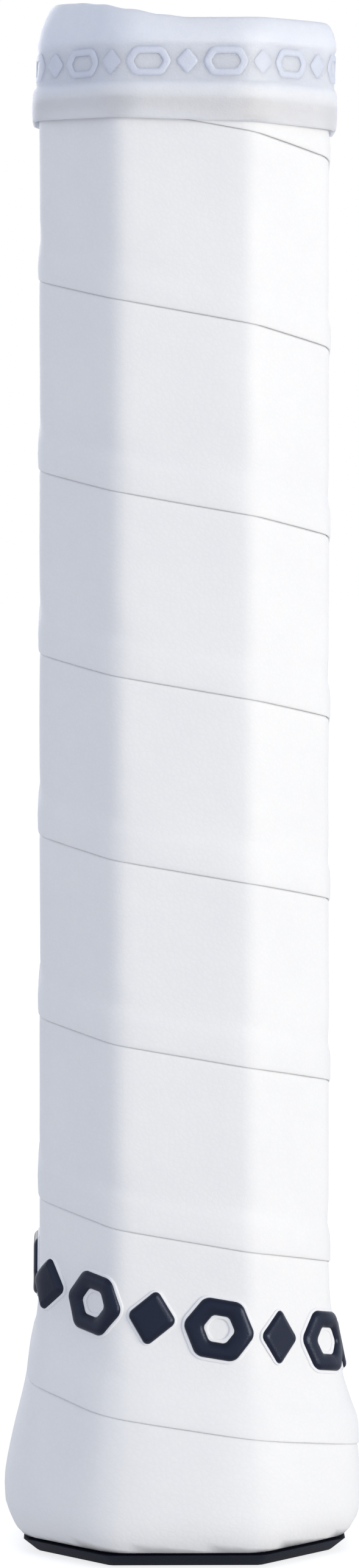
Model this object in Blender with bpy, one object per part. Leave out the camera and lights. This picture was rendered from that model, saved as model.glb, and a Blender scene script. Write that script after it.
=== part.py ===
"""A racket handle wound with a white grip tape, from the butt cap to the rubber collar.

The handle stands on its butt. The origin is at the middle of the butt's end, +Z runs up the
handle, and -Y is the front, one of the two wide flats of the octagon. Sizes are in metres.
"""

from math import atan2, cos, floor, pi, radians, sin, sqrt

import bmesh
import bpy
from mathutils import Matrix, Vector

MM = 0.001

# The bare octagonal handle, as its two foam pallets make it.
HANDLE_WIDTH = 30.0 * MM  # across the two side flats
HANDLE_DEPTH = 26.0 * MM  # across the front and back flats
BEVEL_CUT = 7.9 * MM  # how much of the width and of the depth each bevel takes
CORNER_RADIUS = 0.8 * MM
CORNER_STEPS = 1
HANDLE_TOP = 176.5 * MM
PALLET_SIDE_WALL = 4.3 * MM
PALLET_FACE_WALL = 5.3 * MM
PALLET_LIFT = 1.0 * MM  # from the weight chamber to the pallets' lower end
SHOULDER = 0.5 * MM  # the pallets' slope where the cap's sleeve ends

# Gaps between pieces that touch on the real handle.
FIT_GAP = 0.3 * MM
SLIDE_GAP = 0.35 * MM

# The two carbon tubes of the shaft, and what fills them.
TUBE_LIFT = 1.0 * MM  # from the pallets' lower end to the tubes'
TUBE_STAND = 2.0 * MM  # how far the tubes are cut above the pallets
TUBE_WALL = 1.2 * MM
TUBE_OUTER_RADIUS = 5.0 * MM
TUBE_INNER_RADIUS = 1.8 * MM
TUBE_SPLIT = 0.4 * MM
CORE_INSET = 1.5 * MM  # how far the foam ends below the tubes' rims
WEIGHT_LENGTH = 12.0 * MM
WEIGHT_INSET = 2.5 * MM  # from the tubes' lower ends to the weights
WEIGHT_MARGIN = 0.5 * MM

# The butt cap: a flared cup with an end plate.
CAP_TOP = 34.0 * MM
CAP_WALL = 1.3 * MM
END_PLATE = 2.5 * MM
CHAMBER_HEIGHT = 9.0 * MM
CHAMBER_GROWTH = 0.8 * MM  # how far the weight chamber is wider than the bare handle
CHAMBER_SHOULDER = 0.5 * MM
SLEEVE_HEIGHT = 2.0 * MM  # of the straight stretch above the flare
BELLY_HEIGHT = 6.0 * MM
BELLY_GROWTH = 3.9 * MM  # how far the flare stands out of the handle at its belly
HEEL_GROWTH = 2.8 * MM  # and where it meets the lip
LIP_HEIGHT = 1.5 * MM
LIP_GROWTH = 3.9 * MM
LIP_BEVEL_GROWTH = 0.3 * MM
END_GROWTH = 2.1 * MM
END_BEVEL_GROWTH = 0.5 * MM
FLARE_STEPS = 9
HEEL_STEPS = 3

# The snap-in door in the end plate.
DOOR_WIDTH = 21.0 * MM
DOOR_DEPTH = 17.0 * MM
DOOR_CORNER = 4.0 * MM
DOOR_THICKNESS = 1.0 * MM
DOOR_LEDGE = 1.3 * MM  # how far the end plate reaches under the door's edge
DOOR_RECESS = 0.4 * MM
LEG_THICKNESS = 1.2 * MM
LEG_WIDTH = 6.0 * MM
LEG_RISE = 5.0 * MM  # from the door's inner face to the legs' ends
NOTCH_RADIUS = 1.6 * MM

# Staples through the cap's sleeve.
STAPLE_CROWN = 6.0 * MM
STAPLE_WIRE = 0.6 * MM
STAPLE_BREADTH = 1.2 * MM
STAPLE_DROP = 2.6 * MM  # from the sleeve's top to the staples
STAPLE_COVER = 0.9 * MM  # foam left between a staple's points and the shaft

# The grip tape: a felt backing under a polyurethane skin, wound upwards with a lap.
TAPE_PITCH = 21.3 * MM  # from seam to seam, up the handle
TAPE_LAP = 3.3 * MM
TOP_WIDENING = 0.95 * MM  # the last turns are wound this much wider apart
EVEN_TURNS = 5.0  # turns above the first seam before the pitch widens
FIRST_SEAM = 16.1 * MM  # height of the lowest seam at the middle of the front
BACKING_THICKNESS = 0.95 * MM
LAMINATE_GAP = 0.25 * MM
SKIN_THICKNESS = 0.5 * MM
LIP_RISE = 0.2 * MM  # how far a turn's lower edge stands out, over the turn below
LAP_LEAD = 0.8 * MM  # width of the slope beside the lap
LAP_DIP = 0.6 * MM  # how far a turn's upper edge sinks where the next turn starts
EDGE_DIP = 1.1 * MM  # and at its very edge
SEAM_EASE = 0.3 * MM
TAPE_DROP = 7.3 * MM  # from the pallets' top to the tape's upper cut end
TAPE_END_WIDTH = 1.0 * MM
SHORTEST_STEP = 0.04 * MM
MIDDLE_SPANS = 8
LAP_SPANS = 2

# The finishing tape, wound a few times round at the grip's upper end.
FINISH_WIDTH = 6.5 * MM
FINISH_THICKNESS = 1.0 * MM

# The rubber collar.
COLLAR_DROP = 9.5 * MM  # from the pallets' top to the collar's lower end
COLLAR_HEIGHT = 12.45 * MM  # to the rim's mean height
MOUTH_HEIGHT = 2.5 * MM  # of the wider bore that takes the end of the grip tape
MOUTH_SLOPE = 0.5 * MM
LOWER_BEAD = 0.45 * MM  # the collar's thickness round the grip tape
UPPER_BEAD = 1.1 * MM
CHANNEL_WALL = 0.9 * MM
LOWER_BEAD_HEIGHT = 4.4 * MM
CHANNEL_HEIGHT = 4.2 * MM
BEAD_EDGE = 0.4 * MM
COLLAR_LIP = 1.0 * MM  # how far the turned-in rim stands out of the bare handle
RIM_HEIGHT = 2.6 * MM
RIM_WALL = 0.8 * MM
RIM_TILT = 0.82 * MM
RIM_WAVE = 1.14 * MM
RIM_PEAK = radians(-160)

# Raised marks on the second turn: links and lozenges in turn.
MARK_PAIRS = 7
MARK_HEIGHT = 11.9 * MM  # from the tape's lower edge to the middle of the row
MARK_THICKNESS = 0.45 * MM
LINK_WIDTH = 8.4 * MM
LINK_HEIGHT = 6.8 * MM
LINK_STROKE = 1.9 * MM
LOZENGE_WIDTH = 5.8 * MM
LOZENGE_HEIGHT = 6.6 * MM
MARK_CORNER = 0.7 * MM
ROUND_STEPS = 3

FACES = 8
FACE_TURN = 2 * pi / FACES
PLACES = FACES * (CORNER_STEPS + 1)

CHAMBER_TOP = END_PLATE + CHAMBER_HEIGHT
PALLET_BOTTOM = CHAMBER_TOP + PALLET_LIFT
TUBE_BOTTOM = PALLET_BOTTOM + TUBE_LIFT
TUBE_TOP = HANDLE_TOP + TUBE_STAND
FLARE_TOP = CAP_TOP - SLEEVE_HEIGHT
TAPE_TOP = HANDLE_TOP - TAPE_DROP
TAPE_WIDTH = TAPE_PITCH + TAPE_LAP
TAPE_BOTTOM = LIP_HEIGHT + FIT_GAP
BACKING_OUTSIDE = FIT_GAP + BACKING_THICKNESS
SKIN_INSIDE = BACKING_OUTSIDE + LAMINATE_GAP
TAPE_OUTSIDE = SKIN_INSIDE + SKIN_THICKNESS
FINISH_BOTTOM = TAPE_TOP + FIT_GAP
FINISH_OUTSIDE = FIT_GAP + FINISH_THICKNESS
COLLAR_BOTTOM = HANDLE_TOP - COLLAR_DROP
COLLAR_TOP = COLLAR_BOTTOM + COLLAR_HEIGHT
CHANNEL_BOTTOM = COLLAR_BOTTOM + LOWER_BEAD_HEIGHT
CHANNEL_TOP = CHANNEL_BOTTOM + CHANNEL_HEIGHT
COLLAR_INSIDE = FINISH_OUTSIDE + FIT_GAP
MOUTH_INSIDE = TAPE_OUTSIDE + LIP_RISE + FIT_GAP

# Finishes: base colour, roughness, metallic.
WHITE_SKIN = ((0.83, 0.84, 0.87), 0.45, 0.0)
GREY_FELT = ((0.55, 0.55, 0.54), 0.95, 0.0)
NAVY_PLASTIC = ((0.010, 0.012, 0.026), 0.35, 0.0)
NAVY_RUBBER = ((0.006, 0.008, 0.020), 0.30, 0.0)
MILKY_RUBBER = ((0.62, 0.65, 0.72), 0.40, 0.0)
TAN_FOAM = ((0.52, 0.40, 0.22), 0.80, 0.0)
CARBON = ((0.020, 0.020, 0.022), 0.35, 0.0)
WHITE_FOAM = ((0.80, 0.78, 0.70), 0.90, 0.0)
LEAD = ((0.28, 0.29, 0.31), 0.50, 1.0)
STEEL = ((0.60, 0.60, 0.62), 0.30, 1.0)
CLEAR_BAND = ((0.45, 0.50, 0.60), 0.25, 0.0)


# --- scene helpers ---------------------------------------------------------------------------

def clear_scene():
    """Removes whatever the scene holds, and makes the two collections."""
    for old in list(bpy.data.objects):
        bpy.data.objects.remove(old, do_unlink=True)
    for name in ("racket_handle", "cutters"):
        bpy.context.scene.collection.children.link(bpy.data.collections.new(name))


def add_object(name, mesh, finish=None, origin=(0, 0, 0)):
    """Links a mesh as one named object. Without a finish it is a cutter."""
    item = bpy.data.objects.new(name, mesh)
    item.location = origin
    if finish is None:
        item.hide_render = True
        item.display_type = "WIRE"
        bpy.data.collections["cutters"].objects.link(item)
        return item
    colour, roughness, metallic = finish
    material = bpy.data.materials.new(name)
    material.use_nodes = True
    shader = material.node_tree.nodes["Principled BSDF"]
    shader.inputs["Base Color"].default_value = (*colour, 1.0)
    shader.inputs["Roughness"].default_value = roughness
    shader.inputs["Metallic"].default_value = metallic
    mesh.materials.append(material)
    bpy.data.collections["racket_handle"].objects.link(item)
    return item


def mesh_from(shape, name):
    """Turns a closed bmesh into a mesh, facing outwards and smooth but for its real edges."""
    bmesh.ops.recalc_face_normals(shape, faces=shape.faces)
    if shape.calc_volume(signed=True) < 0:
        bmesh.ops.reverse_faces(shape, faces=shape.faces)
    mesh = bpy.data.meshes.new(name)
    shape.to_mesh(mesh)
    shape.free()
    mesh.shade_smooth()
    mesh.set_sharp_from_angle(angle=radians(30))
    return mesh


def loft(name, sections, closed=False):
    """A skin over sections with the same number of points, capped unless it closes on itself."""
    shape = bmesh.new()
    loops = [[shape.verts.new(point) for point in section] for section in sections]
    pairs = list(zip(loops, loops[1:]))
    if closed:
        pairs.append((loops[-1], loops[0]))
    else:
        shape.faces.new(loops[0])
        shape.faces.new(loops[-1])
    for first, second in pairs:
        for i in range(len(first)):
            shape.faces.new((first[i - 1], first[i], second[i], second[i - 1]))
    shape.normal_update()
    bmesh.ops.dissolve_limit(
        shape, angle_limit=radians(0.05), use_dissolve_boundaries=False,
        verts=shape.verts, edges=shape.edges,
    )
    return mesh_from(shape, name)


def plate(name, outlines, bottom, top):
    """A flat outline, with its holes, extruded from bottom to top."""
    curve = bpy.data.curves.new(name, "CURVE")
    curve.dimensions = "2D"
    curve.fill_mode = "BOTH"
    curve.extrude = (top - bottom) / 2
    for outline in outlines:
        spline = curve.splines.new("POLY")
        spline.points.add(len(outline) - 1)
        for point, (x, y) in zip(spline.points, outline):
            point.co = (x, y, 0, 1)
        spline.use_cyclic_u = True
    drawn = bpy.data.objects.new(name + "_outline", curve)
    drawn.location = (0, 0, (top + bottom) / 2)
    bpy.data.collections["cutters"].objects.link(drawn)
    bpy.context.view_layer.update()
    mesh = bpy.data.meshes.new_from_object(drawn.evaluated_get(bpy.context.evaluated_depsgraph_get()))
    mesh.transform(drawn.matrix_world)
    bpy.data.objects.remove(drawn, do_unlink=True)
    shape = bmesh.new()
    shape.from_mesh(mesh)
    bpy.data.meshes.remove(mesh)
    bmesh.ops.remove_doubles(shape, verts=shape.verts, dist=0.001 * MM)
    return mesh_from(shape, name)


def combine(target, other, operation="DIFFERENCE"):
    """Cuts the target with the other object, or joins the two, with an EXACT Boolean."""
    modifier = target.modifiers.new(other.name, "BOOLEAN")
    modifier.operation = operation
    modifier.object = other


def rounded(corners, radii):
    """A convex outline, anticlockwise, with each corner rounded to its own radius."""
    outline = []
    for index, radius in enumerate(radii):
        corner = Vector(corners[index])
        back = (Vector(corners[index - 1]) - corner).normalized()
        ahead = (Vector(corners[(index + 1) % len(corners)]) - corner).normalized()
        half = back.angle(ahead) / 2
        centre = corner + (back + ahead).normalized() * radius / sin(half)
        reach = radius * cos(half) / sin(half)
        start = corner + back * reach - centre
        end = corner + ahead * reach - centre
        turns = [start.slerp(end, step / ROUND_STEPS) for step in range(ROUND_STEPS + 1)]
        outline += [centre + radius * turn.normalized() for turn in turns]
    return outline


def rectangle(low, high):
    """A rectangle's corners, anticlockwise from the lower left."""
    return (low[0], low[1]), (high[0], low[1]), (high[0], high[1]), (low[0], high[1])


# --- the octagon -----------------------------------------------------------------------------

def direction(angle):
    """The unit vector at an angle in the XY plane."""
    return Vector((cos(angle), sin(angle)))


def face_angle(face):
    """Direction of a face's normal: face 0 is the front, and they run anticlockwise from above."""
    return -pi / 2 + face * FACE_TURN


def face_distance(face, growth, bevel_growth=0.0):
    """Distance from the axis to a face of the bare handle's octagon, grown by an offset."""
    bevel = (HANDLE_WIDTH / 2 + HANDLE_DEPTH / 2 - BEVEL_CUT) / sqrt(2) + bevel_growth
    return (HANDLE_DEPTH / 2, bevel, HANDLE_WIDTH / 2, bevel)[face % 4] + growth


def corner_point(face, growth, bevel_growth=0.0):
    """The sharp corner between a face and the next one, on the octagon grown by an offset."""
    angle = face_angle(face)
    first = face_distance(face, growth, bevel_growth)
    second = face_distance(face + 1, growth, bevel_growth)
    along = (second - first * cos(FACE_TURN)) / sin(FACE_TURN)
    return first * direction(angle) + along * direction(angle + pi / 2)


def ring_point(place, growth, layer=0.0, bevel_growth=0.0):
    """A point of the grown octagon with a layer laid round it.

    Places are numbered anticlockwise from the corner after the front face, and each corner's
    arc holds CORNER_STEPS + 1 of them.
    """
    face, step = divmod(place, CORNER_STEPS + 1)
    centre = corner_point(face, growth - CORNER_RADIUS, bevel_growth)
    angle = face_angle(face) + FACE_TURN * step / CORNER_STEPS
    return centre + (CORNER_RADIUS + layer) * direction(angle)


def ring(height, growth=0.0, layer=0.0, bevel_growth=0.0):
    """One whole outline of the handle at a height."""
    return [(*ring_point(place, growth, layer, bevel_growth), height) for place in range(PLACES)]


def flare(height):
    """How far the butt cap stands out of the bare handle at a height."""
    if height >= FLARE_TOP:
        return 0.0
    if height >= BELLY_HEIGHT:
        share = (FLARE_TOP - height) / (FLARE_TOP - BELLY_HEIGHT)
        return BELLY_GROWTH * share * share * (3 - 2 * share)
    share = min(1.0, (BELLY_HEIGHT - height) / (BELLY_HEIGHT - LIP_HEIGHT))
    return BELLY_GROWTH - (BELLY_GROWTH - HEEL_GROWTH) * share * share


# --- shaft and pallets -----------------------------------------------------------------------

def shaft_half():
    """Half the width and half the depth of the two tubes side by side."""
    return HANDLE_WIDTH / 2 - PALLET_SIDE_WALL, HANDLE_DEPTH / 2 - PALLET_FACE_WALL


def tube_outline(side, inset):
    """One tube's outline, drawn in by an inset: large radii outside, small ones at the middle."""
    half_width, half_depth = shaft_half()
    near = TUBE_SPLIT / 2 + inset
    far = half_width - inset
    outer = max(TUBE_OUTER_RADIUS - inset, TUBE_WALL / 2)
    inner = max(TUBE_INNER_RADIUS - inset, TUBE_WALL / 2)
    depth = half_depth - inset
    if side > 0:
        return rounded(rectangle((near, -depth), (far, depth)), (inner, outer, outer, inner))
    return rounded(rectangle((-far, -depth), (-near, depth)), (outer, inner, inner, outer))


def build_shaft():
    """Two carbon tubes, each with a lead weight low down and foam above it."""
    weight_bottom = TUBE_BOTTOM + WEIGHT_INSET
    weight_top = weight_bottom + WEIGHT_LENGTH
    for side, word in ((-1, "left"), (1, "right")):
        walls = [tube_outline(side, 0), tube_outline(side, TUBE_WALL)]
        slug = [tube_outline(side, TUBE_WALL + WEIGHT_MARGIN)]
        core = [tube_outline(side, TUBE_WALL + FIT_GAP)]
        tube = plate(f"shaft_tube_{word}", walls, TUBE_BOTTOM, TUBE_TOP)
        weight = plate(f"tail_weight_{word}", slug, weight_bottom, weight_top)
        foam = plate(f"foam_core_{word}", core, weight_top + FIT_GAP, TUBE_TOP - CORE_INSET)
        add_object(tube.name, tube, CARBON)
        add_object(weight.name, weight, LEAD)
        add_object(foam.name, foam, WHITE_FOAM)


def pallet_section(height, growth, side):
    """Half of the octagon, on the side of -Y or +Y, less half of the shaft's pocket."""
    outside = [ring_point(place, growth) for place in range(PLACES)]
    half_width, half_depth = (half + FIT_GAP for half in shaft_half())
    corners = rectangle((-half_width, -half_depth), (half_width, half_depth))
    inside = rounded(corners, (TUBE_OUTER_RADIUS + FIT_GAP,) * 4)
    split = side * FIT_GAP / 2
    edge = face_distance(2, growth)
    kept_outside = sorted((p for p in outside if p.y * side > abs(split)), key=lambda p: p.x)
    kept_inside = sorted((p for p in inside if p.y * side > abs(split)), key=lambda p: -p.x)
    outline = [Vector((-edge, split)), *kept_outside, Vector((edge, split))]
    outline += [Vector((half_width, split)), *kept_inside, Vector((-half_width, split))]
    return [(*point, height) for point in outline]


def build_pallets(staple_holes):
    """Two foam shells round the shaft, let in where the cap's sleeve goes over them."""
    rebate = -CAP_WALL - FIT_GAP
    step = CAP_TOP + FIT_GAP
    heights = (PALLET_BOTTOM, step, step + SHOULDER, HANDLE_TOP)
    growths = (rebate, rebate, 0.0, 0.0)
    for side, word in ((-1, "front"), (1, "back")):
        sections = [pallet_section(h, g, side) for h, g in zip(heights, growths)]
        pallet = add_object(f"pallet_{word}", loft(f"pallet_{word}", sections), TAN_FOAM)
        for hole in staple_holes:
            combine(pallet, hole)


# --- butt cap, door and staples --------------------------------------------------------------

def staple_mesh(name, face, margin):
    """A U of flat wire driven in through the middle of a face, or the hole that takes it."""
    surface = face_distance(face, 0.0)
    wall = PALLET_SIDE_WALL if face % 4 else PALLET_FACE_WALL
    top = surface + (STAPLE_CROWN if margin else 0.0)
    under = surface - STAPLE_WIRE - margin
    tip = surface - wall + STAPLE_COVER - margin
    outer = STAPLE_CROWN / 2 + margin
    inner = STAPLE_CROWN / 2 - STAPLE_WIRE - margin
    out = direction(face_angle(face))
    along = direction(face_angle(face) + pi / 2)
    places = [(-outer, top), (-outer, tip), (-inner, tip), (-inner, under)]
    places += [(-x, y) for x, y in reversed(places)]
    outline = [along * x + out * y for x, y in places]
    height = CAP_TOP - STAPLE_DROP
    half = STAPLE_BREADTH / 2 + margin
    return plate(name, [outline], height - half, height + half)


def build_staples():
    """A staple in each of the four main faces. Returns the cutters of their holes."""
    holes = []
    for word, face in (("front", 0), ("right", 2), ("back", 4), ("left", 6)):
        name = f"cap_staple_{word}"
        add_object(name, staple_mesh(name, face, 0.0), STEEL)
        hole = staple_mesh(name + "_hole", face, FIT_GAP)
        holes.append(add_object(hole.name, hole))
    return holes


def door_outline(inset):
    """The door's outline, drawn in by an inset."""
    half_width = DOOR_WIDTH / 2 - inset
    half_depth = DOOR_DEPTH / 2 - inset
    corners = rectangle((-half_width, -half_depth), (half_width, half_depth))
    return rounded(corners, (DOOR_CORNER - inset,) * 4)


def build_cap(staple_holes):
    """The flared cap: a lofted octagonal cup, opened for the door and for the staples."""
    inner = [
        ring(END_PLATE, CHAMBER_GROWTH),
        ring(CHAMBER_TOP, CHAMBER_GROWTH),
        ring(CHAMBER_TOP + CHAMBER_SHOULDER, -CAP_WALL),
        ring(CAP_TOP, -CAP_WALL),
    ]
    heights = [CAP_TOP]
    heights += [FLARE_TOP + (BELLY_HEIGHT - FLARE_TOP) * i / FLARE_STEPS for i in range(FLARE_STEPS)]
    heights += [BELLY_HEIGHT + (LIP_HEIGHT - BELLY_HEIGHT) * i / HEEL_STEPS for i in range(HEEL_STEPS + 1)]
    outer = [ring(height, flare(height)) for height in heights]
    lip = ring(LIP_HEIGHT, LIP_GROWTH, 0.0, LIP_BEVEL_GROWTH)
    end = ring(0.0, END_GROWTH, 0.0, END_BEVEL_GROWTH)
    cap = add_object("butt_cap", loft("butt_cap", inner + outer + [lip, end]), NAVY_PLASTIC)
    seat_depth = DOOR_RECESS + DOOR_THICKNESS + FIT_GAP
    seat = plate("door_seat", [door_outline(0)], -END_PLATE, seat_depth)
    opening = plate("door_opening", [door_outline(DOOR_LEDGE)], -END_PLATE, 2 * END_PLATE)
    notch = plate("door_notch", [notch_outline()], -END_PLATE, seat_depth)
    for cutter in (seat, opening, notch):
        combine(cap, add_object(cutter.name, cutter))
    for hole in staple_holes:
        combine(cap, hole)


def notch_outline():
    """A half-round bay in the door's seat, where a fingernail or a blade lifts the door."""
    steps = 4 * ROUND_STEPS
    centre = Vector((0.0, -DOOR_DEPTH / 2 + NOTCH_RADIUS / 2))
    return [centre + NOTCH_RADIUS * direction(2 * pi * step / steps) for step in range(steps)]


def build_door():
    """The door: a rounded plate with two friction legs that reach through the end plate."""
    top = DOOR_RECESS + DOOR_THICKNESS
    face = plate("butt_door", [door_outline(SLIDE_GAP)], DOOR_RECESS, top)
    door = add_object("butt_door", face, NAVY_PLASTIC)
    leg_outside = DOOR_WIDTH / 2 - DOOR_LEDGE - SLIDE_GAP
    for hand, word in ((-1, "left"), (1, "right")):
        shape = bmesh.new()
        bmesh.ops.create_cube(shape, size=1.0)
        size = Vector((LEG_THICKNESS, LEG_WIDTH, LEG_RISE + DOOR_THICKNESS / 2))
        bmesh.ops.scale(shape, vec=size, verts=shape.verts)
        middle = (hand * (leg_outside - LEG_THICKNESS / 2), 0, top - DOOR_THICKNESS / 2 + size.z / 2)
        leg = add_object(f"door_leg_{word}", mesh_from(shape, f"door_leg_{word}"), None, middle)
        combine(door, leg, "UNION")


# --- the grip tape ---------------------------------------------------------------------------

def turn_shares():
    """Share of the way round from the middle of the front flat to each place, on the tape."""
    points = [ring_point(place, 0.0, TAPE_OUTSIDE / 2) for place in range(PLACES)]
    total = sum((points[i] - points[i - 1]).length for i in range(PLACES))
    share = points[0].x / total
    shares = [share]
    for i in range(1, PLACES):
        share += (points[i] - points[i - 1]).length / total
        shares.append(share)
    return shares


TURN_SHARES = turn_shares()


def turns_at(place):
    """Turns round the handle, anticlockwise from the front, at a whole place number."""
    whole, index = divmod(place, PLACES)
    return whole + TURN_SHARES[index]


def seam_height(turns):
    """Height of the tape's lower edge. Turns count clockwise, which is the way it climbs."""
    widening = TOP_WIDENING * max(0.0, turns - EVEN_TURNS)
    return FIRST_SEAM + TAPE_PITCH * turns + widening


def tape_rows(turns):
    """Distances up from the tape's lower edge at which its section is drawn, and its surface there.

    A turn starts over the edge of the turn below, comes down beside it, and sinks under the
    turn above.
    """
    start = TAPE_WIDTH - (seam_height(turns) - seam_height(turns - 1))
    next_turn = seam_height(turns + 1) - seam_height(turns)
    bends = (
        (0.0, LIP_RISE, 0),
        (start, LIP_RISE, LAP_SPANS),
        (start + LAP_LEAD, 0.0, 1),
        (next_turn - 2 * SEAM_EASE, 0.0, MIDDLE_SPANS),
        (next_turn - SEAM_EASE, -LAP_DIP, 1),
        (TAPE_WIDTH, -EDGE_DIP, LAP_SPANS),
    )
    rows = [bends[0][:2]]
    for (low, low_rise, _), (high, high_rise, spans) in zip(bends, bends[1:]):
        for step in range(1, spans + 1):
            share = step / spans
            rows.append((low + (high - low) * share, low_rise + (high_rise - low_rise) * share))
    return rows


def tape_rise(rows, distance):
    """How far the tape's surface stands off its even level at a distance above its lower edge."""
    for (low, low_rise), (high, high_rise) in zip(rows, rows[1:]):
        if distance <= high:
            return low_rise + (high_rise - low_rise) * (distance - low) / (high - low)
    return rows[-1][1]


def strip(name, inside, outside, first_row, last_row):
    """One layer of the tape, as a closed helical strip cut level at the cap and at the top."""
    sections = []
    place = floor(PLACES * (TAPE_WIDTH + FIRST_SEAM) / TAPE_PITCH) + PLACES
    while seam_height(-turns_at(place)) < TAPE_TOP:
        turns = -turns_at(place)
        rows = tape_rows(turns)
        lower_edge = seam_height(turns)
        heights = [lower_edge + distance for distance, _ in rows[first_row:last_row]]
        steps = range(len(heights))
        enough = heights[-1] - TAPE_BOTTOM > TAPE_END_WIDTH and TAPE_TOP - heights[0] > TAPE_END_WIDTH
        if enough:
            heights = [max(heights[i], TAPE_BOTTOM + i * SHORTEST_STEP) for i in steps]
            heights = [min(heights[i], TAPE_TOP - (steps[-1] - i) * SHORTEST_STEP) for i in steps]
            near = []
            far = []
            for height in heights:
                rise = tape_rise(rows, height - lower_edge)
                dip = rise if outside == TAPE_OUTSIDE else 0.0
                near.append((*ring_point(place, flare(height), inside + dip), height))
                far.append((*ring_point(place, flare(height), outside + dip), height))
            sections.append(far + near[::-1])
        place -= 1
    return loft(name, sections)


def build_tape():
    """The felt backing and the skin over it, the skin wider by the two laps."""
    rows = len(tape_rows(0.0))
    felt = strip("grip_backing", FIT_GAP, BACKING_OUTSIDE, LAP_SPANS + 1, rows - LAP_SPANS - 2)
    skin = strip("grip_skin", SKIN_INSIDE, TAPE_OUTSIDE, 0, rows)
    add_object("grip_backing", felt, GREY_FELT)
    add_object("grip_skin", skin, WHITE_SKIN)


# --- raised marks ----------------------------------------------------------------------------

def wrapped(distance, height, layer, walk):
    """The point at a distance round the tape from the front, on the octagon's faceted outline."""
    index = max(i for i, (reached, _) in enumerate(walk) if reached <= distance)
    index = min(index, len(walk) - 2)
    (low, place), (high, _) = walk[index], walk[index + 1]
    share = (distance - low) / (high - low)
    first = ring_point(place, flare(height), layer)
    second = ring_point(place + 1, flare(height), layer)
    return (*first.lerp(second, share), height)


def mark_outlines(kind):
    """A link with its hole, or a solid lozenge, drawn flat about its middle."""
    if kind == "link":
        half_width = LINK_WIDTH / 2
        half_height = LINK_HEIGHT / 2
        hole_height = half_height - LINK_STROKE
        hole_width = half_width - LINK_STROKE * 1.25
        shapes = ((half_width, half_height, MARK_CORNER), (hole_width, hole_height, MARK_CORNER / 2))
    else:
        shapes = ((LOZENGE_WIDTH / 2, LOZENGE_HEIGHT / 2, MARK_CORNER),)
    outlines = []
    for width, height, radius in shapes:
        shoulder = width - height * 0.6 if kind == "link" else 0.0
        if shoulder > 0:
            corners = [(-width, 0), (-shoulder, -height), (shoulder, -height)]
            corners += [(width, 0), (shoulder, height), (-shoulder, height)]
        else:
            corners = [(-width, 0), (0, -height), (width, 0), (0, height)]
        outlines.append(rounded(corners, (radius,) * len(corners)))
    return outlines


def build_marks():
    """A row of links and lozenges that runs once round the handle along the tape."""
    level = flare(FIRST_SEAM + MARK_HEIGHT)
    points = [ring_point(place % PLACES, level, TAPE_OUTSIDE) for place in range(-PLACES, 2 * PLACES)]
    reached = points[PLACES].x - sum((points[i + 1] - points[i]).length for i in range(PLACES))
    walk = []
    for index, point in enumerate(points):
        if index:
            reached += (point - points[index - 1]).length
        walk.append((reached, index % PLACES))
    girth = walk[PLACES][0] - walk[0][0]
    slope = atan2(TAPE_PITCH, girth)
    count = 2 * MARK_PAIRS
    base = TAPE_OUTSIDE + FIT_GAP
    for number in range(count):
        share = (number + 0.5) / count - 0.5
        kind = "link" if number % 2 else "lozenge"
        name = f"raised_mark_{number + 1:02d}"
        flat = plate(name, mark_outlines(kind), base, base + MARK_THICKNESS)
        place = Matrix.Translation((share * girth, seam_height(-share) + MARK_HEIGHT, 0))
        flat.transform(place @ Matrix.Rotation(-slope, 4, "Z"))
        shape = bmesh.new()
        shape.from_mesh(flat)
        bpy.data.meshes.remove(flat)
        for line, _ in walk:
            geometry = shape.verts[:] + shape.edges[:] + shape.faces[:]
            bmesh.ops.bisect_plane(shape, geom=geometry, plane_co=(line, 0, 0), plane_no=(1, 0, 0))
        for vert in shape.verts:
            vert.co = wrapped(vert.co.x, vert.co.y, vert.co.z, walk)
        add_object(name, mesh_from(shape, name), NAVY_RUBBER)


# --- finishing tape and collar ---------------------------------------------------------------

def build_finishing_tape():
    """A band round the bare handle, at the cut end of the grip tape."""
    top = FINISH_BOTTOM + FINISH_WIDTH
    sections = [
        ring(FINISH_BOTTOM, 0.0, FIT_GAP),
        ring(top, 0.0, FIT_GAP),
        ring(top, 0.0, FINISH_OUTSIDE),
        ring(FINISH_BOTTOM, 0.0, FINISH_OUTSIDE),
    ]
    add_object("finishing_tape", loft("finishing_tape", sections, closed=True), CLEAR_BAND)


def collar_ring(height, layer, wave):
    """One outline of the collar, with a share of the rim's tilt and wave in its height."""
    points = []
    for place in range(PLACES):
        point = ring_point(place, 0.0, layer)
        around = atan2(point.y, point.x) - RIM_PEAK
        swing = RIM_TILT * cos(around) + RIM_WAVE * cos(2 * around)
        points.append((*point, height + wave * swing))
    return points


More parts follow.
